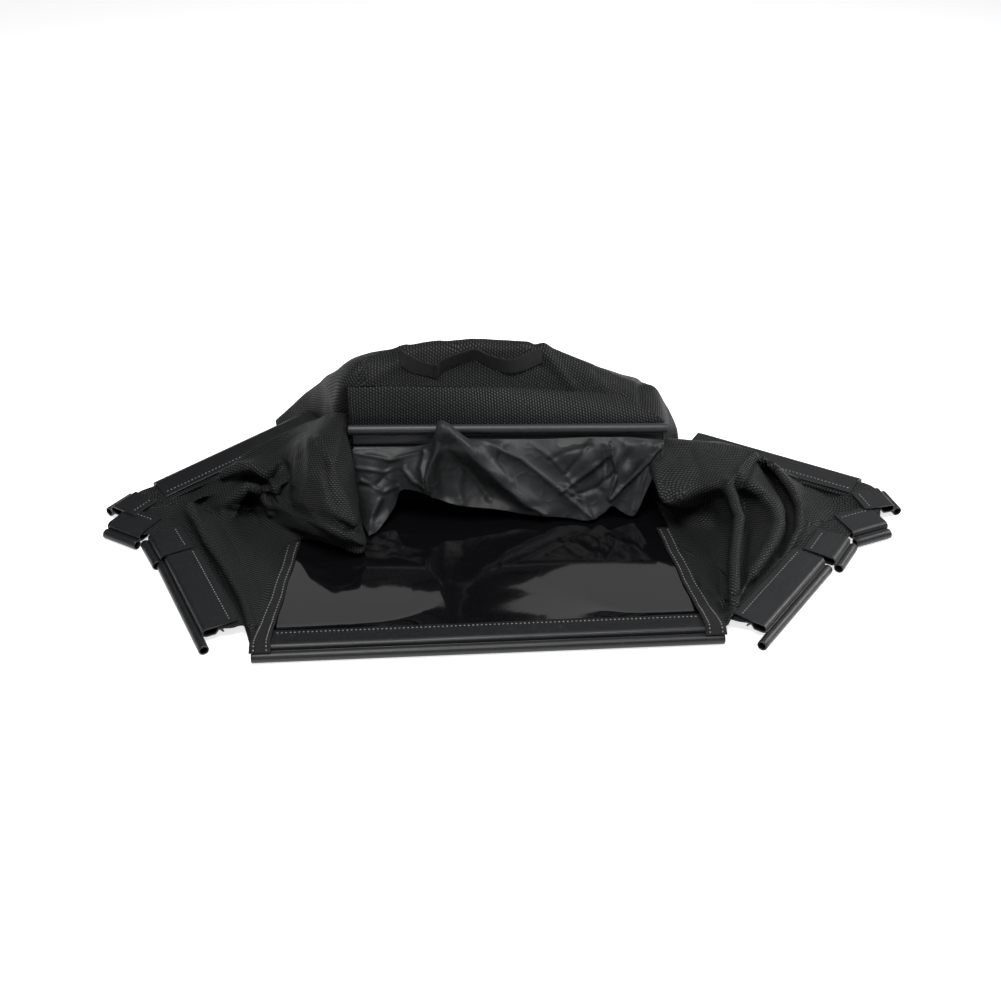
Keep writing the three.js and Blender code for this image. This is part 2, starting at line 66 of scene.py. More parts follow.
def sight(px, py):
    """Direction from the eye through a place of the picture frame."""
    return -BACK + RIGHT * (px - MIDDLE) / FOCAL + UP * (MIDDLE - py) / FOCAL


def seen(px, py, z):
    """The place at height z that the eye sees at (px, py) of the frame."""
    ray = sight(px, py)
    return EYE + ray * (z - EYE[2]) / ray[2]


def seen_at(px, py, y):
    """The place at depth y that the eye sees at (px, py) of the frame."""
    ray = sight(px, py)
    return EYE + ray * (y - EYE[1]) / ray[1]


def make_camera():
    """The camera at the eye, with the same heading, elevation and focal length as the photograph's."""
    data = bpy.data.cameras.new("camera")
    data.lens = FOCAL / FRAME_SIDE * SENSOR
    data.sensor_width = SENSOR
    data.clip_start = 0.05
    data.clip_end = 30.0
    camera = bpy.data.objects.new("camera", data)
    bpy.context.scene.collection.objects.link(camera)
    turn = Matrix([[RIGHT[i], UP[i], BACK[i]] for i in range(3)]).to_4x4()
    turn.translation = metres(EYE)
    camera.matrix_world = turn
    bpy.context.scene.camera = camera


make_camera()


# Shader maths
class Wire:
    """A shader socket that can be used in expressions."""

    def __init__(self, tree, socket):
        self.tree, self.socket = tree, socket

    def maths(self, operation, *others):
        """The socket of a new maths node that takes this one and the others."""
        node = self.tree.nodes.new("ShaderNodeMath")
        node.operation = operation
        for place, value in enumerate((self, *others)):
            if isinstance(value, Wire):
                self.tree.links.new(value.socket, node.inputs[place])
            else:
                node.inputs[place].default_value = float(value)
        return Wire(self.tree, node.outputs[0])

    def __add__(self, other):
        return self.maths("ADD", other)

    def __radd__(self, other):
        return self.maths("ADD", other)

    def __sub__(self, other):
        return self.maths("SUBTRACT", other)

    def __rsub__(self, other):
        node = self.tree.nodes.new("ShaderNodeMath")
        node.operation = "SUBTRACT"
        node.inputs[0].default_value = float(other)
        self.tree.links.new(self.socket, node.inputs[1])
        return Wire(self.tree, node.outputs[0])

    def __mul__(self, other):
        return self.maths("MULTIPLY", other)

    def __pow__(self, other):
        return self.maths("POWER", other)

    def sin(self):
        return self.maths("SINE")

    def abs(self):
        return self.maths("ABSOLUTE")

    def step(self, low, high):
        """0 below low, 1 above high, a smooth rise between them."""
        node = self.tree.nodes.new("ShaderNodeMapRange")
        node.interpolation_type = "SMOOTHSTEP"
        self.tree.links.new(self.socket, node.inputs["Value"])
        node.inputs["From Min"].default_value = low
        node.inputs["From Max"].default_value = high
        return Wire(self.tree, node.outputs["Result"])


class Finish:
    """A material under construction: one Principled shader and the nodes that feed it."""

    def __init__(self, name, colour, **sockets):
        self.material = bpy.data.materials.new(name)
        self.material.use_nodes = True
        self.tree = self.material.node_tree
        self.tree.nodes.clear()
        out = self.tree.nodes.new("ShaderNodeOutputMaterial")
        self.shader = self.tree.nodes.new("ShaderNodeBsdfPrincipled")
        self.tree.links.new(self.shader.outputs[0], out.inputs["Surface"])
        self.shader.inputs["Base Color"].default_value = (*colour, 1.0)
        for key, value in sockets.items():
            socket = key.replace("_", " ").title().replace("Ior", "IOR")
            self.shader.inputs[socket].default_value = value

    def node(self, kind, settings=None, **sockets):
        """A node of that kind, its settings made first, then its sockets set or linked."""
        node = self.tree.nodes.new(kind)
        for key, value in (settings or {}).items():
            setattr(node, key, value)
        for key, value in sockets.items():
            socket = node.inputs[key.replace("_", " ")]
            if isinstance(value, Wire):
                self.tree.links.new(value.socket, socket)
            else:
                socket.default_value = value
        return node

    def place(self):
        """The place on the object, in metres."""
        return Wire(self.tree, self.node("ShaderNodeTexCoord").outputs["Object"])

    def cloth(self):
        """The piece's own flat-cloth coordinates, in metres, as two wires."""
        flat = Wire(self.tree, self.node("ShaderNodeTexCoord").outputs["UV"])
        split = self.node("ShaderNodeSeparateXYZ", Vector=flat)
        return Wire(self.tree, split.outputs[0]), Wire(self.tree, split.outputs[1])

    def noise(self, vector, scale, detail=3.0, roughness=0.5):
        node = self.node("ShaderNodeTexNoise", Vector=vector, Scale=scale, Detail=detail, Roughness=roughness)
        return Wire(self.tree, node.outputs[0])

    def stretched(self, vector, scale):
        """The vector with each of its parts scaled by its own amount."""
        node = self.node("ShaderNodeVectorMath", {"operation": "MULTIPLY"})
        self.tree.links.new(vector.socket, node.inputs[0])
        node.inputs[1].default_value = scale
        return Wire(self.tree, node.outputs[0])

    def shaded(self, factor, dark, pale, light):
        """A mix of two colours, both scaled by the same amount: above 1 this paints light into a copy of a
        material, below 1 it paints shade.
        """
        return self.mix(factor, *(tuple(part * light for part in colour) for colour in (dark, pale)))

    def mix(self, factor, first, second):
        """The first colour where the factor is 0, the second where it is 1."""
        node = self.node("ShaderNodeMix", {"data_type": "RGBA"})
        self.tree.links.new(factor.socket, node.inputs[0])
        for socket, value in ((node.inputs[6], first), (node.inputs[7], second)):
            if isinstance(value, Wire):
                self.tree.links.new(value.socket, socket)
            else:
                socket.default_value = (*value, 1.0)
        return Wire(self.tree, node.outputs[2])

    def feed(self, socket, wire):
        self.tree.links.new(wire.socket, self.shader.inputs[socket])

    def bump(self, height, distance, strength=1.0):
        node = self.node("ShaderNodeBump", Strength=strength, Distance=distance, Height=height)
        self.tree.links.new(node.outputs[0], self.shader.inputs["Normal"])


def knitted_mesh(name, light=1.0, across=0.0031, along=0.0036):
    """Fine knitted mesh: columns of pale loops, each half a loop off the next, with the openings between
    painted near-black: painted shade for the dark inside seen through them.
    """
    f = Finish(name, (0.008, 0.0085, 0.0085), roughness=0.6, specular_ior_level=0.25)
    u, v = f.cloth()
    place = f.place()
    drift = (f.noise(place, 14.0, 2.0) - 0.5) * 0.006
    across_at = (u + drift) * (2 * math.pi / across)
    column = across_at.sin()
    loops = ((v + drift) * (2 * math.pi / along) + across_at * 0.5).sin()
    loop = (column * 0.75 + loops * 0.55).step(-0.2, 0.85)
    patch = f.noise(place, 8.0, 4.0)
    # light above 1 paints the yarn lighter: painted light.
    yarn = f.shaded(patch, (0.012, 0.0131, 0.0138), (0.037, 0.0403, 0.0415), light)
    # The openings' near-black colour is painted shade, standing in for the shaded inside that real holes
    # would show.
    f.feed("Base Color", f.mix(loop, (0.0004, 0.0004, 0.0005), yarn))
    f.feed("Roughness", 0.8 - loop * 0.32)
    f.bump(loop, 0.0012, 1.0)
    return f.material


def glossy_vinyl():
    """Glossy coated sheet: near-mirror film with faint ripples, dust and rub marks."""
    f = Finish("glossy_vinyl", (0.0035, 0.0035, 0.004), roughness=0.06, ior=1.5)
    place = f.place()
    ripple = f.noise(place, 7.0, 2.0)
    fine = f.noise(place, 60.0, 2.0)
    dust = f.noise(place, 900.0, 1.0).step(0.66, 0.78)
    rub = f.noise(f.stretched(place, (14.0, 90.0, 14.0)), 1.0, 4.0).step(0.55, 0.8)
    f.feed("Roughness", 0.05 + rub * 0.04 + dust * 0.1)
    f.feed("Base Color", f.mix(dust * 0.3 + rub * 0.08, (0.0025, 0.0025, 0.003), (0.015, 0.015, 0.016)))
    f.bump(ripple + fine * 0.05, 0.0012, 0.5)
    return f.material


def thin_nylon():
    """Thin coated nylon: a soft broad sheen, fine plain weave and faint crumples."""
    f = Finish("thin_nylon", (0.012, 0.0125, 0.0135), roughness=0.5, ior=1.38)
    place = f.place()
    u, v = f.cloth()
    turn = 2 * math.pi / 0.0011
    weave = (u * turn).sin() * (v * turn).sin()
    crease = 1.0 - (f.noise(place, 26.0, 2.0) * 2.0 - 1.0).abs()
    tone = f.noise(place, 12.0, 3.0)
    f.feed("Base Color", f.mix(tone, (0.008, 0.0086, 0.0094), (0.019, 0.020, 0.0215)))
    f.feed("Roughness", 0.46 + tone * 0.14)
    f.bump((crease ** 10.0) * 0.5 + f.noise(place, 22.0, 1.0) * 0.35 + weave * 0.02, 0.0016, 0.6)
    return f.material


def extruded_plastic(name, light=1.0):
    """Extruded plastic: die lines along the length, a satin face and small pale scuffs."""
    f = Finish(name, (0.014, 0.0145, 0.0155), roughness=0.4, ior=1.42)
    place = f.place()
    u, v = f.cloth()
    along = f.node("ShaderNodeCombineXYZ", X=u * 4.0, Y=v * 900.0)
    lines = f.noise(Wire(f.tree, along.outputs[0]), 1.0, 3.0)
    scuff = f.noise(place, 130.0, 5.0, 0.65).step(0.56, 0.78)
    tone = f.noise(place, 16.0, 3.0)
    # light above 1 paints the plastic lighter: painted light.
    base = f.shaded(tone, (0.004, 0.0043, 0.005), (0.009, 0.0095, 0.0105), light)
    f.feed("Base Color", f.mix(scuff * 0.2, base, (0.045, 0.045, 0.047)))
    f.feed("Roughness", 0.36 + lines * 0.14 + scuff * 0.15)
    f.bump(lines + scuff * 0.3 + tone * 0.6, 0.0005, 0.6)
    return f.material


def woven_webbing(name, light=1.0):
    """Narrow woven tape: ribs across, a fine twill along, and a slightly fuzzy face."""
    f = Finish(name, (0.008, 0.008, 0.009), roughness=0.75, specular_ior_level=0.3)
    u, v = f.cloth()
    place = f.place()
    ribs = (v * (2 * math.pi / 0.0016)).sin() * (u * (2 * math.pi / 0.0022)).sin()
    fuzz = f.noise(place, 700.0, 2.0)
    # light below 1 paints the tape darker: painted shade.
    face = f.shaded(ribs * 0.5 + fuzz * 0.5, (0.003, 0.003, 0.0033), (0.018, 0.018, 0.019), light)
    f.feed("Base Color", face)
    f.feed("Roughness", 0.62 + fuzz * 0.25)
    f.bump(ribs + fuzz * 0.6, 0.0006, 0.8)
    return f.material


def sewing_thread():
    """Twisted thread, paler than the cloth so that each stitch shows."""
    f = Finish("sewing_thread", (0.08, 0.085, 0.085), roughness=0.5)
    place = f.place()
    tone = f.noise(place, 300.0, 2.0)
    f.feed("Base Color", f.mix(tone, (0.07, 0.075, 0.077), (0.30, 0.31, 0.31)))
    f.bump(f.noise(place, 2500.0, 1.0), 0.0002, 0.6)
    return f.material


MESH = knitted_mesh("knitted_mesh")
# The hem's doubled mesh, its yarn painted 1.2 times lighter: painted light, the cloth is the same.
MESH_DOUBLE_PAINTED_LIGHT = knitted_mesh("knitted_mesh_doubled_painted_light", light=1.2)
VINYL = glossy_vinyl()
NYLON = thin_nylon()
PLASTIC = extruded_plastic("extruded_plastic")
# The top channel's copy of the same plastic, painted three times lighter: painted light for its highlights,
# not a paler plastic.
PLASTIC_PAINTED_LIGHT = extruded_plastic("extruded_plastic_painted_light", light=3.0)
WEBBING = woven_webbing("woven_webbing")
# The strap's copy of the same webbing, painted 0.7 times as light: painted shade for the darker strap, not a
# darker tape.
STRAP_WEB_PAINTED_SHADE = woven_webbing("strap_webbing_painted_shade", light=0.7)
THREAD = sewing_thread()


# Surfaces
def weights(places, counts):
    """Catmull-Rom weights: row a holds what each control place gives to sample a. The ends go straight on."""
    last = places - 1
    t = np.linspace(0.0, last, counts)
    i = np.minimum(t.astype(int), last - 1)
    f = t - i
    part = np.stack([-f + 2 * f**2 - f**3,
                     2 - 5 * f**2 + 3 * f**3,
                     f + 4 * f**2 - 3 * f**3,
                     -(f**2) + f**3]) / 2
    w = np.zeros((counts, places))
    rows = np.arange(counts)
    for shift, share in zip((-1, 0, 1, 2), part):
        k = i + shift
        inner = np.clip(k, 0, last)
        np.add.at(w, (rows, inner), share)
        for beyond, edge, next_in in ((k < 0, 0, 1), (k > last, last, last - 1)):
            np.add.at(w, (rows[beyond], np.full(beyond.sum(), edge)), share[beyond])
            np.add.at(w, (rows[beyond], np.full(beyond.sum(), next_in)), -share[beyond])
    return w


def loft(control, across, along):
    """Smooth sheet through a grid of control places: Catmull-Rom along both of its directions."""
    c = np.asarray(control, float)
    return np.einsum("ar,rck,bc->abk", weights(c.shape[0], across), c, weights(c.shape[1], along))


def facing(grid):
    """Unit normals of a sheet, from its two tangents, on the side that mostly faces the eye."""
    n = np.cross(np.gradient(grid, axis=0), np.gradient(grid, axis=1))
    n /= np.maximum(np.linalg.norm(n, axis=-1, keepdims=True), 1e-9)
    return n * np.sign((n * (EYE - grid)).sum(-1).mean())


AHEAD, BEHIND, WHOLE = slice(1, None), slice(None, -1), slice(None)
SPRING_ENDS = (((BEHIND, WHOLE), (AHEAD, WHOLE)),
               ((WHOLE, BEHIND), (WHOLE, AHEAD)),
               ((BEHIND, BEHIND), (AHEAD, AHEAD)),
               ((AHEAD, BEHIND), (BEHIND, AHEAD)))
SPRING_EASE = 0.28
COARSE_STEP = 4


def relaxed(flat, grid, rounds):
    """The flat sheet after some rounds of pull by its springs, each as long as it is on the grid in space."""
    rests = [np.linalg.norm(grid[b] - grid[a], axis=-1) for a, b in SPRING_ENDS]
    for _ in range(rounds):
        move = np.zeros_like(flat)
        for (a, b), rest in zip(SPRING_ENDS, rests):
            d = flat[b] - flat[a]
            now = np.maximum(np.linalg.norm(d, axis=-1), 1e-6)
            pull = d * (0.5 * (1 - rest / now))[..., None]
            move[a] += pull
            move[b] -= pull
        flat = flat + move * SPRING_EASE
    return flat


def coarse_lines(count):
    """Every fourth line of a grid, with its last one."""
    lines = np.arange(0, count, COARSE_STEP)
    return lines if lines[-1] == count - 1 else np.append(lines, count - 1)


def run_along(coarse, axis):
    """How far along the sheet each of its lines lies, on average."""
    steps = np.linalg.norm(np.diff(coarse, axis=axis), axis=-1).mean(1 - axis)
    return np.concatenate([[0], np.cumsum(steps)])


def filled_in(flat, lines, count):
    """The first axis of a coarse flat sheet filled in between its lines."""
    columns = flat.reshape(len(lines), -1).T
    filled = np.stack([np.interp(np.arange(count), lines, column) for column in columns], -1)
    return filled.reshape(count, *flat.shape[1:])


def flattened(grid):
    """Flat-cloth coordinates, in metres: the sheet's grid laid flat by springs along its edges and diagonals,
    each as long as it is in space. It is laid out on every fourth line first, then on all of them."""
    rows, columns = coarse_lines(grid.shape[0]), coarse_lines(grid.shape[1])
    coarse = grid[rows][:, columns]
    start = np.meshgrid(run_along(coarse, 0), run_along(coarse, 1), indexing="ij")
    flat = relaxed(np.stack(start, -1), coarse, 1200)
    flat = filled_in(flat.transpose(1, 0, 2), columns, grid.shape[1]).transpose(1, 0, 2)
    flat = filled_in(flat, rows, grid.shape[0])
    return relaxed(flat, grid, 50) / 1000.0


def flat_size(grid):
    """Mean width and length of the cloth, and its area, in metres."""
    width = np.linalg.norm(np.diff(grid, axis=0), axis=-1).sum(0).mean() / 1e3
    length = np.linalg.norm(np.diff(grid, axis=1), axis=-1).sum(1).mean() / 1e3
    cells = np.cross(np.diff(grid, axis=0)[:, :-1], np.diff(grid, axis=1)[:-1])
    return float(width), float(length), float(np.linalg.norm(cells, axis=-1).sum()) / 1e6


def framed(points):
    """Where the eye sees each place of an array, as frame coordinates."""
    d = points - EYE
    depth = -(d @ BACK)
    return np.stack([MIDDLE + FOCAL * (d @ RIGHT) / depth, MIDDLE - FOCAL * (d @ UP) / depth], -1)


def nearness(points, path, width):
    """1 on a path of places, falling smoothly to 0 over `width` on both sides of it."""
    path = np.asarray(path, float)
    best = np.full(points.shape[:-1], 1e9)
    for a, b in zip(path[:-1], path[1:]):
        run = b - a
        t = np.clip(((points - a) @ run) / (run @ run), 0, 1)
        best = np.minimum(best, np.linalg.norm(points - a - t[..., None] * run, axis=-1))
    return np.exp(-((best / width) ** 2) * 2.0)


def folded(grid, folds):
    """Raises soft folds on a sheet: each is a line of frame places, a half width, and a height."""
    at = framed(grid)
    lift = sum(height * nearness(at, path, width) for path, width, height in folds)
    return grid + facing(grid) * lift[..., None]


def crumpled(grid, size, height, seed):
    """Small creases: the sharp crests of five slow waves that run across each other at uneven angles."""
    rng = np.random.default_rng(seed)
    total = np.zeros(grid.shape[:-1])
    for k in range(5):
        direction = rng.normal(size=3)
        direction /= np.linalg.norm(direction)
        other = np.cross(direction, rng.normal(size=3))
        bend = 1.3 * np.sin((grid @ other) / size * 0.7 + rng.uniform(0, 6))
        phase = (grid @ direction) / size * (1 + 0.35 * k) + bend
        total += (1 - np.abs(np.sin(phase + rng.uniform(0, 6)))) ** 2 / (1 + 0.5 * k)
    return grid + facing(grid) * (height * (total - total.mean()))[..., None]


def add_piece(name, points, faces, flat, material):
    """A smooth object of the given places and faces, with its flat coordinates, if any, as the UV map."""
    data = bpy.data.meshes.new(name)
    data.from_pydata(metres(points).tolist(), [], faces)
    if flat is not None:
        corners = np.empty(len(data.loops), np.int32)
        data.loops.foreach_get("vertex_index", corners)
        layer = data.uv_layers.new(name="flat")
        layer.data.foreach_set("uv", flat[corners].astype(np.float32).ravel())
    data.materials.append(material)
    data.polygons.foreach_set("use_smooth", np.full(len(data.polygons), True))
    data.update()
    piece = bpy.data.objects.new(name, data)
    bpy.context.scene.collection.objects.link(piece)
    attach(piece, "root")
    return piece


def quads(rows, columns, turn=False):
    """Faces of a grid of places."""
    i, j = np.meshgrid(np.arange(rows - 1), np.arange(columns - 1), indexing="ij")
    a = (i * columns + j).ravel()
    order = [a, a + columns, a + columns + 1, a + 1]
    return np.stack(order[::-1] if turn else order, -1)


# The least share of its width times its length that a sheet's area is taken to be
LEAST_AREA_SHARE = 0.301


def sheet_piece(name, grid, thickness, material, replaced, turn=False):
    """A sewn cloth panel: a sheet given its thickness. Its flat width, length and area are worked out but not
    used.
    """
    faces = quads(*grid.shape[:2], turn).tolist()
    piece = add_piece(name, grid.reshape(-1, 3), faces, flattened(grid).reshape(-1, 2), material)
    wall = piece.modifiers.new("wall", "SOLIDIFY")
    wall.thickness = thickness / 1000.0
    wall.offset = 0.0
    wall.use_even_offset = False
    wall.use_rim = True
    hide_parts(*replaced)
    width, length, area = flat_size(grid)
    area = min(max(area, LEAST_AREA_SHARE * width * length), width * length)


# Channels. The section's first part is across, from the tube towards the sewn edge, its second part up.
TUBE_OUT, TUBE_IN, WALL = 5.5, 4.0, 1.4
PLATE_TOP, PLATE_EDGE = 11.0, 39.0
PLATE_LOW = 8.5
BEND_AT = np.array([9.0, 6.0])
BEND_OUT = 5.0
WEB_ALONG = np.array([0.832, 0.555])
WEB_ACROSS = np.array([-0.555, 0.832])
HALF_BOTTOM, HALF_TOP = 237.0, 180.0


def arc(centre, radius, start, end, steps):
    """Places on an arc, between two angles in degrees."""
    a = np.radians(np.linspace(start, end, steps))
    return np.stack([centre[0] + radius * np.cos(a), centre[1] + radius * np.sin(a)], -1)


def hook_outline():
    """Section of plate, hook, lip, barb and the web to the tube, as one closed outline with rounded edges."""
    parts = [
        arc(BEND_AT, BEND_OUT, 229, 270, 8),
        [(14.0, 1.0), (17.4, 1.0), (18.2, 1.35), (21.5, 5.1), (22.0, 5.3), (22.5, 5.1), (25.3, 1.6)],
        [(25.9, 1.25), (26.9, 1.9), (26.8, 2.5), (23.0, 7.1), (22.4, 7.45), (21.6, 7.45), (21.0, 7.1)],
        [(17.6, 2.8), (16.9, 2.4), (14.0, 2.4)],
        arc(BEND_AT, BEND_OUT - WALL, 270, 90, 16),
        [(12.0, 9.6), (20.0, 9.6), (30.0, 9.62), (37.6, 9.7), (38.6, 9.85)],
        [(39.0, 10.2), (38.95, 10.6), (38.5, 10.9), (37.5, 11.0), (30.0, 11.0), (20.0, 11.0), (12.0, 11.0)],
        arc(BEND_AT, BEND_OUT, 90, 198, 16),
    ]
    web = TUBE_OUT * WEB_ALONG * 0.86
    side = WEB_ACROSS * 1.3
    return np.concatenate([*parts, [web + side], [web - side]])


def closed_skin(grid, ends_meet=False):
    """Faces round a grid whose columns close on themselves, and its rows too where the ends meet."""
    n, m = grid.shape[:2]
    i, j = np.meshgrid(np.arange(n if ends_meet else n - 1), np.arange(m), indexing="ij")
    i_next, j_next = (i + 1) % n, (j + 1) % m
    return np.stack([i * m + j, i_next * m + j, i_next * m + j_next, i * m + j_next], -1).reshape(-1, 4)


def channel_tube(start, length, x, across):
    """The tube with its bore, its end edges a little rounded, and the flat coordinates of its places."""
    ease = np.array([0.0, 0.25, 0.8])
    at = np.concatenate([ease, np.linspace(6, length - 6, max(int(length / 12), 3)), length - ease[::-1]])
    turn = np.linspace(0, 2 * np.pi, 40, endpoint=False)
    ring = np.stack([np.cos(turn), np.sin(turn)], -1)
    edge = np.interp(at, [*ease, *(length - ease[::-1])], [0.45, 0.15, 0, 0, 0.15, 0.45])
    middle = start + at[:, None, None] * x
    outer = middle + (ring[None] * (TUBE_OUT - edge)[:, None, None]) @ across
    inner = middle + (ring[None] * (TUBE_IN + 0.5 * edge)[:, None, None]) @ across
    along = np.concatenate([at, at[::-1]]) / 1000
    flat = np.stack(np.broadcast_arrays(along[:, None], turn[None, :] * TUBE_OUT / 1000), -1)
    return np.concatenate([outer, inner[::-1]]), flat


def channel_hook(start, stations, axes, warp, wider):
    """The plate and hook: their section carried along the stations, its free edge bowed by a few tenths."""
    x, y, z = axes
    section = hook_outline()
    section[(section[:, 0] > 28) & (section[:, 1] > PLATE_LOW), 0] += wider
    s = section[None, :, :] * np.ones((len(stations), 1, 1))
    reach = np.clip((s[..., 0] - 14.0) / 25.0, 0, 1) ** 2
    wave = np.sin(stations * 0.045 + 1.0) + 0.6 * np.sin(stations * 0.11)
    s[..., 1] += warp * wave[:, None] * reach * (s[..., 1] > PLATE_LOW)
    grid = start + stations[:, None, None] * x + s[..., :1] * y + s[..., 1:] * z
    around = np.concatenate([[0], np.cumsum(np.linalg.norm(np.diff(section, axis=0), axis=-1))]) / 1000
    return grid, np.stack(np.broadcast_arrays((stations / 1000)[:, None], around[None, :]), -1)


def channel_piece(name, start, end, roll, bare_start, bare_end, warp=0.0, wider=0.0, material=PLASTIC):
    """A clip-on channel: the tube runs its whole length, the hooked plate stops short of a free end. Both are
    their section carried along a straight line; `warp` bows the plate's edge by a few tenths."""
    start, end = np.array(start, float), np.array(end, float)
    length = float(np.linalg.norm(end - start))
    x = (end - start) / length
    y = np.cross([0, 0, 1.0], x)
    y /= np.linalg.norm(y)
    z = np.cross(x, y)
    a = math.radians(roll)
    y, z = y * math.cos(a) + z * math.sin(a), z * math.cos(a) - y * math.sin(a)

    tube, tube_flat = channel_tube(start, length, x, np.stack([y, z]))
    plated = length - bare_start - bare_end
    stations = np.linspace(bare_start, length - bare_end, max(int(plated / 6), 6))
    hook, hook_flat = channel_hook(start, stations, (x, y, z), warp, wider)

    first_hook = tube.shape[0] * tube.shape[1]
    faces = closed_skin(tube, ends_meet=True)[:, ::-1].tolist()
    faces += (closed_skin(hook) + first_hook)[:, ::-1].tolist()
    near_cap = first_hook + np.arange(hook.shape[1])
    far_cap = near_cap + (len(stations) - 1) * hook.shape[1]
    faces += [near_cap.tolist(), far_cap[::-1].tolist()]
    points = np.concatenate([tube.reshape(-1, 3), hook.reshape(-1, 3)])
    flat = np.concatenate([tube_flat.reshape(-1, 2), hook_flat.reshape(-1, 2)])
    piece = add_piece(name, points, faces, flat, material)
    piece.data.set_sharp_from_angle(angle=math.radians(38))
    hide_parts(name.removesuffix("_extrusion"))
    return {"start": start, "length": length, "x": x, "y": y, "z": z, "bare": (bare_start, bare_end)}


def on_channel(c, along, across, height):
    """A place in a channel's own frame: along the tube, towards the sewn edge, and up to the plate."""
    return c["start"] + along * c["x"] + across * c["y"] + height * c["z"]


# The rim, as laid out in the part: each channel starts where the one before it ends, moved ahead and out.
# Each row has a name, length, heading, the moves ahead and out, the bare end, the lift and the rise.
RIM = {
    "right": (1, [("lower_channel", 158, 51, 35, 14, 18, 0, 0),
                  ("corner_channel_1", 46, 55, 7, 9, 0, 0, 0),
                  ("corner_channel_2", 46, 20, 9, -1, 0, 0, 0),
                  ("corner_channel_3", 36, 102, 33, -30, 0, 1.7, 0),
                  ("upper_channel", 205, 146, 31, -11, 0, 0, 0)]),
    "left": (-1, [("lower_channel", 158, 67, 48, -14, 18, 0, 0),
                  ("corner_channel_1", 46, 65, 2, 4, 0, 0, 0),
                  ("corner_channel_2", 46, 33, 2, 8, 0, 0, 0),
                  ("corner_channel_3", 36, 127, 24, -32, 0, 1.7, 0),
                  ("upper_channel", 205, 151, 32, -4, 0, 0, 33)]),
}
BOTTOM_ENDS = (-HALF_BOTTOM, 0, TUBE_OUT), (HALF_BOTTOM, 0, TUBE_OUT)
CHANNELS = {"bottom": channel_piece("bottom_channel_extrusion", *BOTTOM_ENDS, -14.5, 18, 18, 0.25)}


def lay_rim(side, sign, chain):
    """Lays one side's chain of channels from the bottom channel's end, mirrored on the left."""
    at, heading = np.array([HALF_BOTTOM, 0, TUBE_OUT]), 0.0
    mirror = np.array([sign, 1, 1])
    for name, length, turn_to, ahead, out, bare, lift, rise in chain:
        back = np.array([math.cos(heading), math.sin(heading), 0])
        away = np.array([math.sin(heading), -math.cos(heading), 0])
        begin = at + ahead * back + out * away
        begin[2] = TUBE_OUT + lift
        heading = math.radians(turn_to)
        run = math.sqrt(length**2 - rise**2)
        at = begin + np.array([run * math.cos(heading), run * math.sin(heading), rise])
        ends, bares = (begin * mirror, at * mirror), (bare, 0)
        if sign < 0:
            ends, bares = ends[::-1], bares[::-1]
        piece = f"{side}_{name}"
        CHANNELS[piece] = channel_piece(f"{piece}_extrusion", *ends, 0, *bares, 0.25, wider=3.0)


for side, (sign, chain) in RIM.items():
    lay_rim(side, sign, chain)

TOP_HEADING = math.radians(-2.9)
TOP_ALONG = np.array([math.cos(TOP_HEADING), math.sin(TOP_HEADING), 0])
TOP_MIDDLE = np.array([36.0, 274, 95])
TOP_ENDS = TOP_MIDDLE - HALF_TOP * TOP_ALONG, TOP_MIDDLE + HALF_TOP * TOP_ALONG
# The top channel wears the plastic copy that is painted lighter: painted light.
CHANNELS["top"] = channel_piece("top_channel_extrusion", *TOP_ENDS, -100, 5, 5, 0.2, material=PLASTIC_PAINTED_LIGHT)


def sewn(side, piece, fraction, rim=29.0, height=8.8):
    """A place under a side channel's plate, `fraction` of the way along it from the front."""
    c = CHANNELS[f"{side}_{piece}"]
    bare = max(c["bare"])
    along = bare + fraction * (c["length"] - bare)
    if side == "left":
        along = c["length"] - along
    return on_channel(c, along, rim, height)


# Vinyl bottom
SEAM_FRONT, SEAM_REAR, DEPTH = 240.0, 175.0, 484.0
VINYL_LYING = 0.6
VINYL_FRONT = on_channel(CHANNELS["bottom"], 0, 29, 8.7)
VINYL_LEAVE = on_channel(CHANNELS["bottom"], 0, 39, 8.7)


def smooth(t):
    """0 below 0, 1 above 1, a smooth rise between them."""
    t = np.clip(t, 0, 1)
    return t * t * (3 - 2 * t)


def vinyl_height(y, x=None):
    """Height of the vinyl: down along the plate to its edge, then a smooth ramp to the floor.
    The ramp is short towards both corners and long in the middle, where the sheet stands off the floor."""
    y = np.asarray(y, float)
    end = 80.0 if x is None else 54.0 + 50.0 * np.exp(-(((np.asarray(x, float) - 22.0) / 95.0) ** 2) ** 2)
    (front, top), (leave, edge) = VINYL_FRONT[1:], VINYL_LEAVE[1:]
    plate = top + (edge - top) * (y - front) / (leave - front)
    t = np.clip((y - leave) / (end - leave), 0, 1)
    ramp = VINYL_LYING + (edge - VINYL_LYING) * (1 - t) ** 2 * (1 + 0.4 * t)
    return np.where(y < leave, plate, ramp)


def seam_x(y):
    """Half width of the vinyl between its side seams."""
    return SEAM_FRONT + (SEAM_REAR - SEAM_FRONT) * np.asarray(y, float) / DEPTH


def vinyl_grid():
    """The vinyl's height over its length, plus slow ripples that never reach below the floor."""
    front, leave = VINYL_FRONT[1], VINYL_LEAVE[1]
    y = np.concatenate([np.linspace(front, leave, 6), np.linspace(leave, DEPTH, 130)[1:]])
    f = np.linspace(-1, 1, 121)
    yy, ff = np.meshgrid(y, f, indexing="ij")
    xx = ff * (seam_x(yy) + 4)
    fade = smooth((yy - 50) / 40)
    ripple = 0.5 * np.sin(xx / 52 + 0.9 * np.sin(yy / 47)) + 0.3 * np.sin(yy / 31 + xx / 70) + 0.8
    return np.stack([xx, yy, vinyl_height(yy, xx) + fade * ripple * 0.35], -1)


sheet_piece("vinyl_sheet", vinyl_grid(), 1.2, VINYL, ["bottom_panel"],
            turn=True)


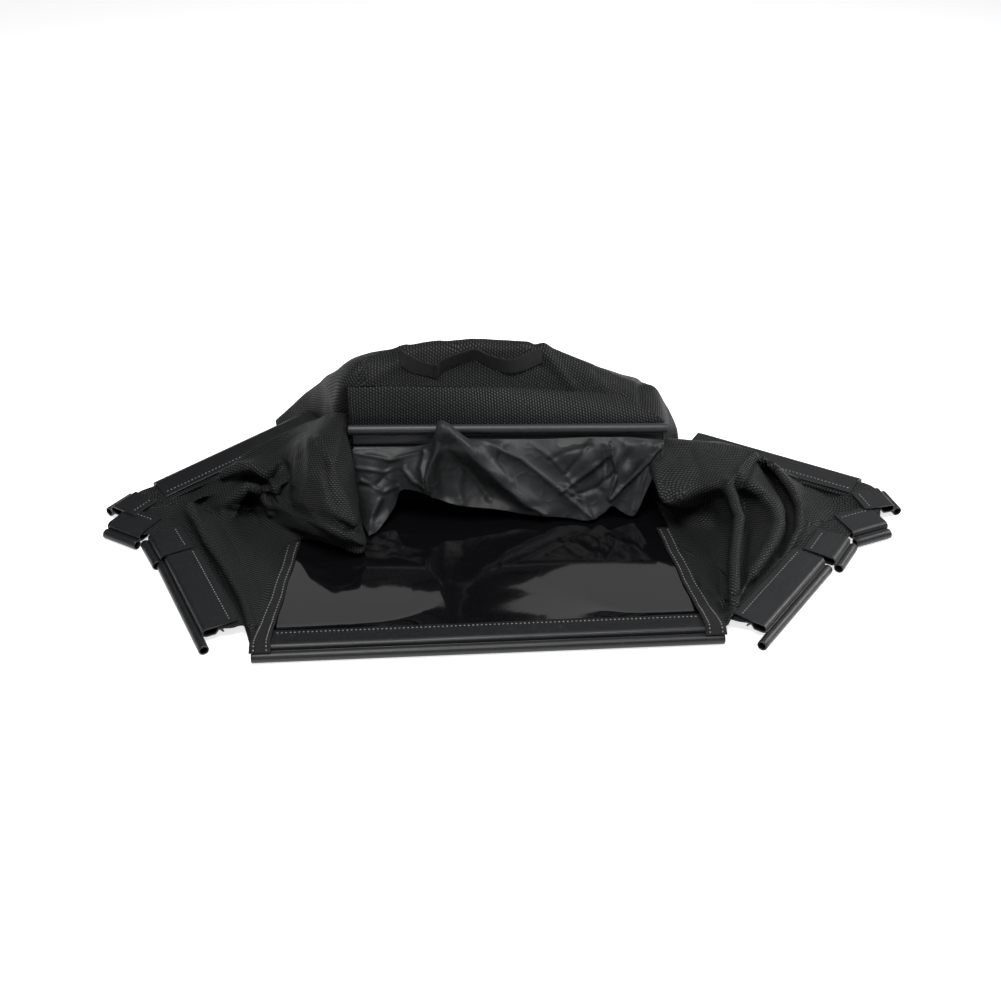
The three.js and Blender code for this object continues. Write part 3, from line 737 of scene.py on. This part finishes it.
# Mesh sides
def under_plate(side, piece, fraction):
    """The cloth's first three places: inside the hook, under the plate's face, and just out past its edge."""
    return [sewn(side, piece, fraction, *place) for place in ((9, 7.6), (28, 8.7), (45, 8.0))]


def rim_rows(side, rows):
    """Control rows of a side panel: each starts under a channel's plate, goes on over the folds where the eye
    sees them, and ends at places that are hidden from it."""
    return np.array([[*under_plate(side, piece, fraction), *(seen(*place) for place in in_view), *hidden]
                     for piece, fraction, in_view, hidden in rows])


SEAM_PROFILE = [(-2, 11.5), (4, 14.5), (10, 15.8), (18, 14.2), (30, 11.3), (40, 8.6), (48, 6.0), (58, 3.6),
                (75, 2.2), (90, 2.0)]


def seam_height(y):
    """Height of the sewn seam: over the end of the front plate, then down to the vinyl."""
    return np.interp(y, *zip(*SEAM_PROFILE))


def seam_row(side, ys):
    """The panel's lower edge: under the lower channel's front end, then back along the vinyl's seam."""
    sign = -1 if side == "left" else 1
    ys = np.array(ys, float)
    z = np.maximum(seam_height(ys) - 0.4, 2.4)
    seam = np.stack([sign * (seam_x(ys) - np.interp(ys, [5, 40], [2.5, 0])), ys, z], -1)
    under_hook = (0.0, 20, 7.9), (-0.03, 33, 7.0), (-0.06, 46, 7.0)
    front = [sewn(side, "lower_channel", *place) for place in under_hook]
    return np.concatenate([front, seam])


def side_grid(control, folds):
    """A side panel: its control rows lofted, with folds only where the cloth has left the plates."""
    grid = loft(control, 200, 190)
    fade = smooth((np.linspace(0, control.shape[1] - 1, grid.shape[1]) - 1.7) / 1.3)
    return grid + (folded(grid, folds) - grid) * fade[None, :, None]


right_seam = seam_row("right", [5, 20, 38, 56, 76, 98, 122, 150, 205, 400])
right_rows = rim_rows("right", [
    ("lower_channel", 0.18, [(742, 606, 10), (739, 604, 12), (732, 611, 9), (731, 607, 15), (729, 603, 9),
     (728, 597, 14), (722, 585, 5), (712, 565, 4)], [(222, 200, 4), (186, 400, 8)]),
    ("lower_channel", 0.5, [(766, 583, 9), (762, 580, 12), (755, 580, 7), (749, 579, 18), (740, 579, 9),
     (733, 578, 21), (722, 572, 8), (708, 553, 5)], [(214, 240, 7), (186, 400, 12)]),
    ("lower_channel", 1.0, [(786, 561, 9), (777, 562, 14), (768, 563, 8), (757, 566, 22), (741, 561, 12),
     (734, 558, 27), (720, 550, 10), (702, 538, 7)], [(210, 245, 12), (186, 400, 16)]),
    ("corner_channel_1", 1.0, [(806, 545, 9), (790, 545, 17), (784, 545, 10), (771, 546, 28),
     (743, 543, 16), (736, 540, 33), (718, 530, 12), (696, 523, 9)], [(206, 250, 18), (186, 400, 20)]),
    ("corner_channel_2", 0.1, [(822, 530, 9), (799, 531, 19), (789, 532, 11), (778, 530, 32),
     (745, 526, 20), (738, 524, 41), (716, 515, 17), (692, 512, 13)], [(206, 252, 24), (186, 400, 24)]),
    ("corner_channel_2", 0.78, [(830, 516, 8), (801, 517, 22), (792, 517, 13), (780, 515, 37),
     (744, 513, 24), (738, 509, 49), (712, 505, 26), (684, 505, 22)], [(208, 254, 30), (186, 400, 28)]),
    ("corner_channel_3", 0.9, [(826, 501, 8), (798, 499, 29), (789, 500, 17), (770, 497, 46),
     (741, 499, 33), (733, 495, 55), (708, 498, 36), (679, 508, 28)], [(204, 246, 40), (186, 400, 34)]),
    ("upper_channel", 0.02, [(820, 493, 9), (791, 487, 37), (780, 487, 25), (757, 487, 53), (738, 481, 56),
     (722, 480, 62), (696, 487, 55), (666, 503, 42)], [(196, 236, 52), (186, 400, 40)]),
    ("upper_channel", 0.3, [(803, 485, 14), (779, 473, 45), (770, 472, 34), (757, 467, 57), (748, 461, 62),
     (726, 463, 66), (697, 468, 64), (670, 479, 58)], [(192, 262, 64), (186, 400, 46)]),
    ("upper_channel", 0.62, [(788, 474, 26), (768, 463, 52), (764, 458, 56), (757, 455, 62), (740, 448, 65),
     (715, 448, 66), (692, 449, 67), (674, 456, 65)], [(188, 284, 74), (186, 400, 50)]),
    ("upper_channel", 0.86, [], [(286, 318, 30), (292, 306, 44), (286, 300, 52), (274, 296, 55),
     (256, 294, 58), (240, 294, 61), (224, 294, 63), (206, 296, 66), (190, 310, 64), (186, 400, 52)]),
    ("upper_channel", 0.92, [], [(288, 326, 12), (290, 326, 22), (282, 324, 26), (270, 322, 28),
     (256, 322, 30), (242, 322, 32), (228, 324, 34), (212, 328, 40), (196, 336, 44), (188, 404, 44)]),
    ("upper_channel", 0.96, [], [(286, 332, 5), (288, 334, 5), (280, 334, 5), (268, 334, 5), (254, 334, 5),
     (240, 336, 5), (226, 340, 5), (212, 346, 6), (198, 354, 8), (190, 408, 12)]),
])
right_control = np.concatenate([right_seam[None], right_rows])
RIGHT_FOLDS = [
    ([(731, 622), (734, 605), (734, 561), (736, 543), (739, 518), (733, 498), (726, 484)], 5, 6.0),
    ([(722, 606), (723, 570), (725, 540), (727, 516), (718, 496)], 7, -6.0),
    ([(742, 590), (744, 556), (747, 522), (742, 494)], 6, -3.0),
    ([(752, 574), (770, 545), (778, 525), (774, 509), (756, 489), (738, 474)], 8, 4.5),
    ([(780, 556), (790, 533), (790, 508), (776, 478), (760, 461)], 5, -6.0),
    ([(781, 560), (799, 531), (800, 507), (790, 486), (770, 464)], 5, 4.0),
    ([(808, 532), (812, 508), (804, 488)], 5, -2.0),
    ([(728, 486), (738, 470), (753, 454)], 4, 3.0),
    ([(743, 484), (752, 468), (762, 460)], 4, -4.0),
    ([(676, 470), (704, 466), (736, 452)], 9, 2.0),
    ([(690, 452), (700, 474), (690, 492)], 7, -2.0),
    ([(694, 600), (706, 580), (712, 552)], 6, 2.0),
    ([(812, 500), (826, 512)], 7, 1.5),
    ([(668, 516), (692, 526), (712, 524)], 12, -7.0),
    ([(680, 496), (704, 490), (722, 480)], 8, 3.0),
]
right_grid = side_grid(right_control, RIGHT_FOLDS)


def above_vinyl(grid):
    """Keeps a sheet clear of the vinyl under it."""
    x, y, z = (grid[..., k] for k in range(3))
    over = np.abs(x) < seam_x(y) + 4
    return np.stack([x, y, np.where(over, np.maximum(z, vinyl_height(y) + 2.2), np.maximum(z, 0.8))], -1)


sheet_piece("right_side_mesh", above_vinyl(right_grid), 1.0, MESH, ["right_side_panel"])

left_seam = seam_row("left", [5, 20, 36, 54, 74, 96, 118, 142, 168, 200, 262, 400])
left_rows = rim_rows("left", [
    ("lower_channel", 0.18, [(244, 619, 9), (248, 616, 14), (255, 617, 9), (260, 606, 7), (265, 592, 6),
     (270, 577, 5), (275, 562, 5), (283, 546, 5), (296, 538, 5), (318, 534, 5)], [(-158, 262, 6),
     (-150, 400, 8)]),
    ("lower_channel", 0.5, [(233, 600, 6), (243, 598, 15), (254, 591, 9), (263, 579, 7), (270, 565, 6),
     (277, 552, 5), (286, 543, 5), (302, 539, 6), (324, 541, 7), (348, 547, 6)], [(-150, 255, 6),
     (-150, 400, 10)]),
    ("lower_channel", 1.0, [(213, 567, 7), (226, 566, 20), (239, 561, 13), (252, 553, 9), (264, 543, 7),
     (276, 534, 7), (292, 532, 10), (314, 538, 13), (338, 546, 13), (361, 552, 8)], [(-142, 236, 8),
     (-148, 400, 12)]),
    ("corner_channel_1", 1.0, [(200, 545, 9), (210, 541, 23), (223, 539, 17), (238, 535, 10), (254, 528, 5),
     (271, 520, 9), (290, 526, 19), (316, 534, 26), (344, 541, 24), (365, 546, 12)], [(-136, 226, 12),
     (-148, 400, 14)]),
    ("corner_channel_2", 0.1, [(189, 528, 11), (199, 524, 25), (213, 522, 19), (229, 518, 15),
     (249, 514, 3), (268, 511, 15), (285, 515, 27), (308, 521, 39), (336, 530, 39), (361, 539, 23)], [
     (-134, 226, 22), (-148, 400, 17)]),
    ("corner_channel_2", 0.78, [(179, 512, 14), (189, 507, 25), (201, 504, 8), (219, 505, 22),
     (233, 503, 27), (249, 501, 10), (264, 499, 28), (281, 503, 29), (302, 505, 47), (330, 513, 54),
     (356, 524, 40)], [(-134, 228, 38)]),
    ("corner_channel_3", 0.9, [(184, 500, 14), (196, 497, 17), (212, 494, 22), (231, 491, 30),
     (246, 487, 42), (259, 490, 38), (269, 495, 26), (282, 493, 33), (303, 490, 58), (326, 496, 68),
     (350, 507, 54)], [(-136, 234, 54)]),
    ("upper_channel", 0.02, [(196, 490, 15), (211, 485, 23), (229, 481, 30), (245, 480, 27), (256, 480, 24),
     (267, 483, 28), (278, 487, 42), (288, 483, 44), (305, 475, 71), (325, 479, 79), (344, 488, 68)], [
     (-138, 246, 70)]),
    ("upper_channel", 0.35, [(222, 474, 33), (232, 470, 42), (246, 467, 48), (258, 468, 48), (268, 473, 44),
     (277, 474, 38), (287, 470, 50), (296, 464, 64), (306, 459, 78), (322, 461, 88), (338, 470, 80)], [
     (-142, 266, 84)]),
    ("upper_channel", 0.7, [(252, 450, 44), (262, 450, 46), (271, 450, 48), (279, 450, 50), (287, 449, 56),
     (296, 446, 66), (304, 443, 78), (311, 441, 88), (320, 441, 94), (329, 445, 97), (337, 452, 93)], [
     (-146, 284, 94)]),
    ("upper_channel", 1.0, [], [(-192, 372, 56), (-188, 360, 64), (-185, 350, 70), (-182, 341, 76),
     (-178, 333, 82), (-174, 326, 88), (-168, 320, 94), (-162, 314, 98), (-157, 309, 102), (-152, 306, 104),
     (-148, 306, 103), (-146, 312, 98)]),
])
left_control = np.concatenate([left_seam[None], left_rows])
LEFT_FOLDS = [
    ([(192, 507), (207, 541), (226, 568), (243, 600), (252, 627)], 4.5, 4.0),
    ([(215, 512), (236, 548), (256, 590)], 6, -2.5),
    ([(224, 475), (238, 468), (253, 467), (266, 474), (276, 487), (281, 502)], 4.5, 6.0),
    ([(234, 516), (237, 500), (247, 487), (258, 490), (266, 500), (272, 514)], 4, 5.0),
    ([(246, 478), (258, 480), (266, 490), (272, 502)], 4.5, -3.0),
    ([(249, 500), (251, 514), (258, 524)], 6, -4.0),
    ([(281, 462), (286, 472), (287, 484), (286, 498)], 7, -6.0),
    ([(288, 500), (296, 515), (318, 530), (346, 545)], 5, -2.5),
    ([(310, 440), (311, 476), (305, 500), (318, 520), (345, 538)], 7, 3.0),
    ([(318, 440), (330, 462), (341, 490), (356, 530)], 4.5, 3.0),
    ([(322, 452), (327, 482), (338, 512)], 5, -3.0),
    ([(299, 446), (297, 466), (294, 484)], 5, 3.0),
    ([(188, 500), (196, 503), (204, 500)], 4, -1.5),
]
left_grid = side_grid(left_control, LEFT_FOLDS)
sheet_piece("left_side_mesh", above_vinyl(left_grid), 1.0, MESH, ["left_side_panel"],
            turn=True)

# Hem, top and back
TOP = CHANNELS["top"]
HEM_OVER_PLATE = 11.9
HEM_TUCK = np.array([0, 7, -4])


def hem_seam(f):
    """Seam between hem and top panel: nearly straight, bowed back and up by a few millimetres."""
    f = np.asarray(f, float)[..., None]
    ends = np.array([-138.0, 306, 136.3]), np.array([162.0, 309, 115.7])
    return ends[0] + (ends[1] - ends[0]) * f + np.sin(np.pi * f) * np.array([0, 2, 3.0])


def hem_grid():
    """The hem: up from under the top channel's plate, round its tube, slack to the seam, and in behind it."""
    rows = []
    for f in np.linspace(-0.015, 1.015, 9):
        along = (0.02 + 0.96 * f) * 2 * HALF_TOP
        low, mid, bend = (on_channel(TOP, along, across, HEM_OVER_PLATE) for across in (29, 9, -4))
        high = hem_seam(f)
        slack = bend * 0.5 + high * 0.5 + np.array([0, -2, 2])
        rows.append([low, mid, bend, slack, high, high + HEM_TUCK])
    return loft(rows, 150, 60)


# The hem wears the mesh copy that is painted lighter: painted light.
sheet_piece("hem_mesh", hem_grid(), 1.2, MESH_DOUBLE_PAINTED_LIGHT, ["top_hem_panel"])

# The dome: the top panel and the back as one slack cloth. Each column starts at the hem seam or at the front
# edge of a shoulder, goes up to the ridge and over it. Its last place is its foot at the back.
DOME = [
    [(-237, 432, 4), (-240, 436, 8), (-242, 441, 11), (-243, 447, 13), (-241, 452, 12), (-236, 478, 2)],
    [(-206, 410, 6), (-211, 416, 22), (-214, 424, 36), (-214, 432, 44), (-211, 440, 47), (-212, 488, 2)],
    [(-172, 372, 12), (-186, 388, 38), (-190, 404, 58), (-190, 418, 68), (-187, 430, 70), (-188, 492, 2)],
    [(-148, 322, 70), (-164, 340, 92), (-170, 366, 103), (-168, 390, 104), (-163, 408, 100),
     (-165, 494, 2)],
    [(-139, 308, 118), (-150, 318, 132), (-150, 338, 141), (-142, 358, 142), (-130, 378, 137),
     (-135, 494, 2)],
    [(-136, 306, 136), (-134, 314, 148), (-128, 328, 156), (-118, 344, 157), (-108, 358, 154),
     (-115, 494, 2)],
    [(-106, 308, 136), (-104, 318, 153), (-97, 330, 162), (-88, 341, 165), (-80, 351, 161), (-88, 494, 2)],
    [(-52, 309, 133), (-50, 320, 151), (-46, 331, 166), (-42, 341, 170), (-40, 352, 166), (-44, 494, 2)],
    [(12, 310, 128), (8, 321, 149), (4, 331, 166), (0, 341, 172.5), (0, 352, 168), (0, 494, 2)],
    [(70, 310, 122), (60, 321, 145), (50, 331, 162), (44, 341, 169.5), (42, 352, 165), (44, 494, 2)],
    [(114, 309, 118.5), (104, 320, 140), (92, 330, 156), (82, 340, 163), (78, 350, 160), (88, 494, 2)],
    [(150, 309, 116), (143, 318, 131), (132, 328, 141), (120, 338, 147), (112, 349, 146), (118, 494, 2)],
    [(170, 308, 113), (168, 316, 121), (162, 326, 126), (156, 336, 129), (150, 348, 128), (152, 494, 2)],
    [(188, 294, 106), (193, 308, 110), (192, 325, 113), (187, 337, 115), (181, 349, 112), (184, 490, 2)],
    [(208, 282, 94), (213, 304, 94), (212, 330, 101), (209, 340, 104), (205, 350, 102), (208, 484, 2)],
    [(216, 296, 60), (226, 318, 68), (228, 337, 77), (226, 345, 80), (223, 353, 78), (228, 472, 2)],
    [(232, 330, 30), (240, 335, 40), (243, 341, 46), (243, 347, 47), (241, 355, 45), (242, 454, 2)],
    [(240, 338, 5), (245, 342, 10), (248, 346, 13), (249, 351, 14), (248, 357, 13), (246, 425, 2)],
]
DOME_FOLDS = [
    ([(542, 341), (548, 356), (560, 371), (572, 386)], 7, 3.0),
    ([(534, 345), (540, 360), (552, 374)], 6, -2.0),
    ([(438, 341), (410, 352), (372, 380)], 9, 2.0),
    ([(360, 368), (346, 384), (340, 404), (338, 428)], 10, 5.0),
    ([(350, 392), (347, 412), (349, 432)], 7, -5.0),
    ([(330, 380), (312, 400), (300, 425)], 12, 3.0),
    ([(324, 388), (322, 404), (318, 424)], 6, -2.5),
    ([(652, 383), (656, 400), (664, 425)], 8, 3.0),
    ([(640, 384), (641, 400), (645, 425)], 5, -3.0),
    ([(596, 372), (612, 384), (634, 390)], 7, -2.0),
    ([(470, 345), (500, 349), (530, 346)], 8, 1.5),
    ([(405, 346), (398, 352), (400, 366)], 6, 2.0),
]
# The slope behind the ridge: how far along to the foot, and what share of the ridge's height is left there
BACK_SLOPE = [(0.25, 0.87), (0.5, 0.715), (0.72, 0.53), (0.9, 0.32)]


def with_back(column):
    """A column with its slope behind the ridge, which the photograph doesn't show."""
    *front, ridge, foot = np.array(column, float)
    slope = [[*(ridge + (foot - ridge) * run)[:2], ridge[2] * height] for run, height in BACK_SLOPE]
    return [*front, ridge, *slope, foot]


def dome_grid():
    """The dome's control columns, lofted, with its folds, and kept clear of the floor and the vinyl."""
    grid = folded(loft([with_back(column) for column in DOME], 260, 180), DOME_FOLDS)
    grid = crumpled(grid, 34.0, 0.7, 11)
    grid[..., 2] = np.maximum(grid[..., 2], 2.1)
    return grid


dome = dome_grid()
sheet_piece("dome_mesh", dome, 1.2, MESH, ["top_panel", "rear_panel"])


# Dust flap
FLAP_LOWEST = 5.0


def flap_place(px, py, y=None):
    """The place seen at (px, py) at depth y, or at the top channel's plate where none is given. It is drawn
    nearer along the line of sight where it would reach the floor."""
    if y is None:
        y = 263 - (px - 535) * 0.05
    place = seen_at(px, py, y)
    return place if place[2] > FLAP_LOWEST else seen(px, py, FLAP_LOWEST)


FLAP_FOLDS = [
    ([(444, 429), (492, 471), (520, 497), (544, 514)], 12, 5.0),
    ([(444, 429), (492, 471), (520, 497), (544, 514)], 3, 3.0),
    ([(444, 431), (427, 451), (422, 469), (427, 490)], 5, 4.0),
    ([(447, 446), (442, 470), (446, 496)], 12, -6.0),
    ([(462, 470), (458, 490), (462, 504)], 5, 2.0),
    ([(452, 456), (472, 474), (490, 498)], 5, -2.5),
    ([(476, 440), (520, 458), (560, 490), (590, 518)], 8, 3.0),
    ([(476, 440), (520, 458), (560, 490), (590, 518)], 2.5, 1.6),
    ([(505, 442), (498, 460), (510, 478)], 4, -2.0),
    ([(528, 440), (556, 462), (575, 486)], 3, 1.8),
    ([(561, 492), (584, 474), (611, 454)], 3.5, 2.6),
    ([(572, 497), (596, 488), (616, 474)], 4, -2.2),
    ([(560, 486), (582, 500), (592, 520)], 3, 2.4),
    ([(550, 460), (566, 452), (590, 446)], 4, -1.6),
    ([(611, 444), (617, 473), (609, 497)], 3, 3.0),
    ([(604, 448), (606, 470), (600, 490)], 5, -2.4),
    ([(590, 440), (582, 456), (566, 474)], 3.5, -2.0),
    ([(660, 448), (640, 470), (622, 486), (610, 500)], 2.5, 2.4),
    ([(640, 444), (626, 478), (606, 512)], 7, 2.5),
    ([(655, 447), (644, 478), (636, 510)], 4, 1.8),
    ([(352, 452), (390, 460), (425, 452)], 3, 2.0),
    ([(356, 468), (385, 472), (404, 466)], 3, 2.0),
    ([(354, 486), (376, 486), (384, 478)], 4, -2.0),
    ([(360, 480), (384, 492), (398, 486)], 3, 1.8),
    ([(404, 470), (414, 482), (424, 486)], 3, 2.0),
    ([(380, 500), (372, 516), (370, 532)], 4, 2.0),
]


# Columns of the flap from the plate down to its free edge: where each place is seen, and at what depth
FLAP = [
    [(352, 449), (352, 465, 264), (353, 485, 256), (356, 505, 244), (361, 521, 234), (366, 530, 226),
     (369, 536, 222)],
    [(372, 449), (372, 461, 260), (371, 476, 252), (371, 493, 242), (373, 508, 233), (376, 520, 226),
     (379, 529, 222)],
    [(392, 448), (393, 458, 262), (391, 469, 258), (388, 481, 250), (389, 491, 245), (391, 500, 241),
     (394, 508, 238)],
    [(410, 447), (412, 456, 258), (410, 465, 250), (404, 473, 246), (401, 480, 244), (401, 486, 242),
     (402, 490, 240)],
    [(428, 444), (430, 449, 254), (428, 460, 246), (425, 470, 238), (424, 479, 233), (425, 487, 231),
     (426, 494, 230)],
    [(441, 441), (446, 429, 246), (438, 450, 236), (433, 465, 232), (431, 477, 231), (431, 488, 230),
     (433, 498, 228)],
    [(468, 439), (470, 444, 250), (469, 452, 240), (467, 466, 247), (465, 480, 244), (462, 492, 236),
     (460, 506, 226)],
    [(497, 439), (497, 448, 253), (497, 461, 246), (497, 475, 236), (494, 487, 241), (492, 497, 237),
     (492, 509, 226)],
    [(520, 439), (520, 452, 253), (520, 467, 246), (520, 482, 238), (520, 496, 230), (519, 504, 230),
     (518, 513, 226)],
    [(542, 439), (542, 455, 252), (543, 471, 245), (544, 487, 237), (545, 500, 230), (545, 508, 226),
     (545, 516, 222)],
    [(565, 438), (566, 452, 250), (566, 466, 247), (568, 482, 240), (568, 496, 232), (568, 507, 226),
     (568, 518, 221)],
    [(590, 437), (590, 450, 251), (591, 464, 243), (590, 480, 242), (590, 495, 234), (590, 508, 227),
     (590, 521, 220)],
    [(603, 437), (606, 449, 248), (604, 463, 247), (602, 478, 237), (602, 492, 233), (602, 503, 228),
     (602, 514, 223)],
    [(615, 437), (618, 447, 251), (617, 459, 243), (615, 471, 241), (613, 483, 235), (612, 495, 231),
     (612, 506, 226)],
    [(628, 437), (630, 446, 248), (628, 458, 247), (626, 472, 238), (624, 486, 236), (623, 500, 229),
     (622, 512, 222)],
    [(640, 438), (642, 447, 250), (641, 458, 244), (640, 472, 243), (638, 486, 236), (636, 500, 230),
     (635, 515, 221)],
    [(652, 439), (653, 446, 249), (653, 454, 247), (652, 463, 244), (650, 472, 240), (649, 480, 236),
     (648, 488, 232)],
    [(664, 440), (664, 443, 250), (664, 446, 248), (664, 449, 247), (663, 451, 245), (663, 453, 243),
     (663, 456, 241)],
]


def flap_grid():
    """The dust flap's control columns, lofted, and creased all over below the plate."""
    columns = [[flap_place(*place) for place in column] for column in FLAP]
    grid = loft(columns, 260, 110)
    fade = smooth(np.linspace(0, 1, 110) / 0.12)[None, :, None]
    folds = folded(crumpled(grid, 34.0, 0.6, 4), FLAP_FOLDS)
    return grid + (folds - grid) * fade


sheet_piece("nylon_flap", flap_grid(), 0.5, NYLON, ["dust_flap"])

# Bindings, strap and stitches
STITCHES = []


def stitch_line(path, normals, pitch=4.4, length=2.0, radius=0.62):
    """Adds small stitches along a path: each is a short rod, thinner at its ends, just above the cloth."""
    path, normals = np.asarray(path, float), np.asarray(normals, float)
    run = np.concatenate([[0], np.cumsum(np.linalg.norm(np.diff(path, axis=0), axis=-1))])
    at = np.arange(pitch * 0.6, run[-1] - pitch * 0.5, pitch)
    for s in at:
        a = np.array([np.interp(s - length / 2, run, path[:, k]) for k in range(3)])
        b = np.array([np.interp(s + length / 2, run, path[:, k]) for k in range(3)])
        n = np.array([np.interp(s, run, normals[:, k]) for k in range(3)])
        STITCHES.append((a, b, n / np.linalg.norm(n), radius))


def build_stitches():
    """All stitches as one mesh: seven stations along each rod, six points round it, lifted in the middle."""
    a, b, n = (np.array([s[k] for s in STITCHES]) for k in range(3))
    r = np.array([s[3] for s in STITCHES])
    t = np.array([0.0, 0.08, 0.3, 0.5, 0.7, 0.92, 1.0])
    size = np.array([0.25, 0.7, 1.0, 1.0, 1.0, 0.7, 0.25])
    lift = np.array([-0.25, 0.1, 0.3, 0.35, 0.3, 0.1, -0.25])
    turn = np.linspace(0, 2 * np.pi, 6, endpoint=False)
    x = (b - a) / np.linalg.norm(b - a, axis=-1, keepdims=True)
    y = np.cross(n, x)
    y /= np.linalg.norm(y, axis=-1, keepdims=True)
    z = np.cross(x, y)
    raised = z[:, None] * lift[None, :, None] * r[:, None, None]
    centre = a[:, None] + (b - a)[:, None] * t[None, :, None] + raised
    ring = np.cos(turn)[None, :, None] * y[:, None] + np.sin(turn)[None, :, None] * z[:, None]
    points = centre[:, :, None] + ring[:, None] * (size[None, :, None, None] * r[:, None, None, None])
    count, stations, around = points.shape[:3]
    base = (np.arange(count) * stations * around)[:, None]
    rod = closed_skin(points[0])[:, ::-1]
    faces = (rod[None] + base[..., None]).reshape(-1, 4).tolist()
    cap = np.arange(around)
    faces += (cap[::-1] + base).tolist() + (cap + (stations - 1) * around + base).tolist()
    piece = add_piece("stitches", points.reshape(-1, 3), faces, None, THREAD)


def binding_grid(sign, end):
    """Webbing along the vinyl's side seam: a flat strip over the front plate's end and down to the vinyl."""
    y = np.concatenate([np.linspace(-2, 60, 46), np.linspace(60, end, 60)[1:]])
    w = np.linspace(-1, 1, 11)
    yy, ww = np.meshgrid(y, w, indexing="ij")
    half = np.interp(yy, [0, 45, 130], [10.8, 8.6, 7.0])
    middle = seam_x(yy) - np.interp(yy, [0, 45], [12.0, 7.0])
    x = middle + ww * half + 0.5 * np.sin(yy / 9.0)
    z = seam_height(yy) + 0.25 * np.sin(yy / 4.3 + ww) - 0.3 * ww**4
    return np.stack([sign * x, yy, z + 0.9], -1)


TAPE_END = 200.0
for side, sign in (("left", -1), ("right", 1)):
    grid = binding_grid(sign, TAPE_END)
    sheet_piece(f"{side}_binding_tape", grid, 1.2, WEBBING, [f"{side}_seam_binding"],
                turn=sign > 0)
    for column in (2, 8):
        line = grid[:, column] + np.array([0, 0, 0.75])
        stitch_line(line, np.tile([0, 0, 1.0], (len(line), 1)))

for name, c in CHANNELS.items():
    if name == "top":
        continue
    inset = 7.5 if name == "bottom" else 4.5
    stations = np.linspace(c["bare"][0] + 3, c["length"] - c["bare"][1] - 3, 30)
    line = np.array([on_channel(c, along, PLATE_EDGE - inset, PLATE_TOP + 0.1) for along in stations])
    stitch_line(line, np.tile(c["z"], (len(line), 1)))
build_stitches()


# Each place of the strap: where it is seen, how far it stands off the dome, and how far it leans back
STRAP = [(399, 352, 1.5, 0.8), (403, 359, 2.5, 0.6), (411, 364, 4, 0.3), (422, 368, 6, 0.0),
         (432, 371, 7, -0.1), (436, 371, 10, -0.2), (440, 367, 8, -0.2), (450, 362, 8, -0.3),
         (462, 357, 9, -0.35), (474, 355, 9, -0.35), (486, 359, 8, -0.3), (498, 364, 8, -0.2),
         (511, 366, 8, 0.0), (522, 364, 6, 0.2), (533, 359, 3, 0.5), (542, 355, 1.5, 0.8)]


def strap_grid(dome):
    """The carrying strap: a flat band over the dome where it is seen, standing off it towards the eye."""
    strap = np.array(STRAP, float)
    front = dome[:, :85].reshape(-1, 3)
    off = np.linalg.norm(framed(front)[None] - strap[:, None, :2], axis=-1)
    carried = front[off.argmin(1)]
    toward = (EYE - carried) / np.linalg.norm(EYE - carried, axis=-1, keepdims=True)
    path = carried + toward * strap[:, 2:3]
    lean = strap[:, 3]
    up = np.stack([np.zeros(len(lean)), lean, np.sqrt(1 - lean**2)], -1)
    width = np.linspace(-9, 9, 5)
    return loft(path[:, None, :] + width[None, :, None] * up[:, None, :], 200, 14)


# The strap wears the webbing copy that is painted darker: painted shade.
sheet_piece("carrying_strap", strap_grid(dome), 1.4, STRAP_WEB_PAINTED_SHADE, ["handle_strap"])


# Floor and light
FLOOR_REACH = 150
FLOOR_DROP = 0.0004


def make_stage():
    """The pale floor, and the even light from all round."""
    data = bpy.data.meshes.new("floor")
    signs = (-1, -1), (1, -1), (1, 1), (-1, 1)
    data.from_pydata([(x * FLOOR_REACH, y * FLOOR_REACH, -FLOOR_DROP) for x, y in signs], [], [(0, 1, 2, 3)])
    f = Finish("pale_floor", (0.8, 0.8, 0.8), roughness=0.9, specular_ior_level=0.2)
    f.shader.inputs["Emission Color"].default_value = (1, 1, 1, 1)
    f.shader.inputs["Emission Strength"].default_value = 0.74
    data.materials.append(f.material)
    floor = bpy.data.objects.new("floor", data)
    bpy.context.scene.collection.objects.link(floor)

    world = bpy.data.worlds.new("studio")
    bpy.context.scene.world = world
    world.use_nodes = True
    background = world.node_tree.nodes["Background"]
    background.inputs["Color"].default_value = (1, 1, 1, 1)
    background.inputs["Strength"].default_value = 0.06


def add_softbox(name, place, target, width, height, power):
    """A rectangular area light at a place, in millimetres, turned to its target; its sides are in metres."""
    data = bpy.data.lights.new(name, "AREA")
    data.shape = "RECTANGLE"
    data.size = width
    data.size_y = height
    data.energy = power
    lamp = bpy.data.objects.new(name, data)
    bpy.context.scene.collection.objects.link(lamp)
    lamp.location = metres(place)
    facing_way = Vector(metres(target)) - Vector(metres(place))
    lamp.rotation_euler = facing_way.to_track_quat("-Z", "Y").to_euler()


make_stage()
add_softbox("overhead_softbox", (-150, -300, 1850), (0, 150, 40), 1.3, 0.9, 46)
add_softbox("back_softbox", (555, 2000, 1230), (500, 200, 40), 2.1, 0.66, 3.2)
add_softbox("right_softbox", (1500, 500, 1000), (100, 150, 60), 0.8, 0.8, 24)
add_softbox("front_softbox", (-500, -1500, 1500), (0, 200, 60), 1.2, 0.9, 4)
bpy.context.scene.view_settings.view_transform = "Standard"
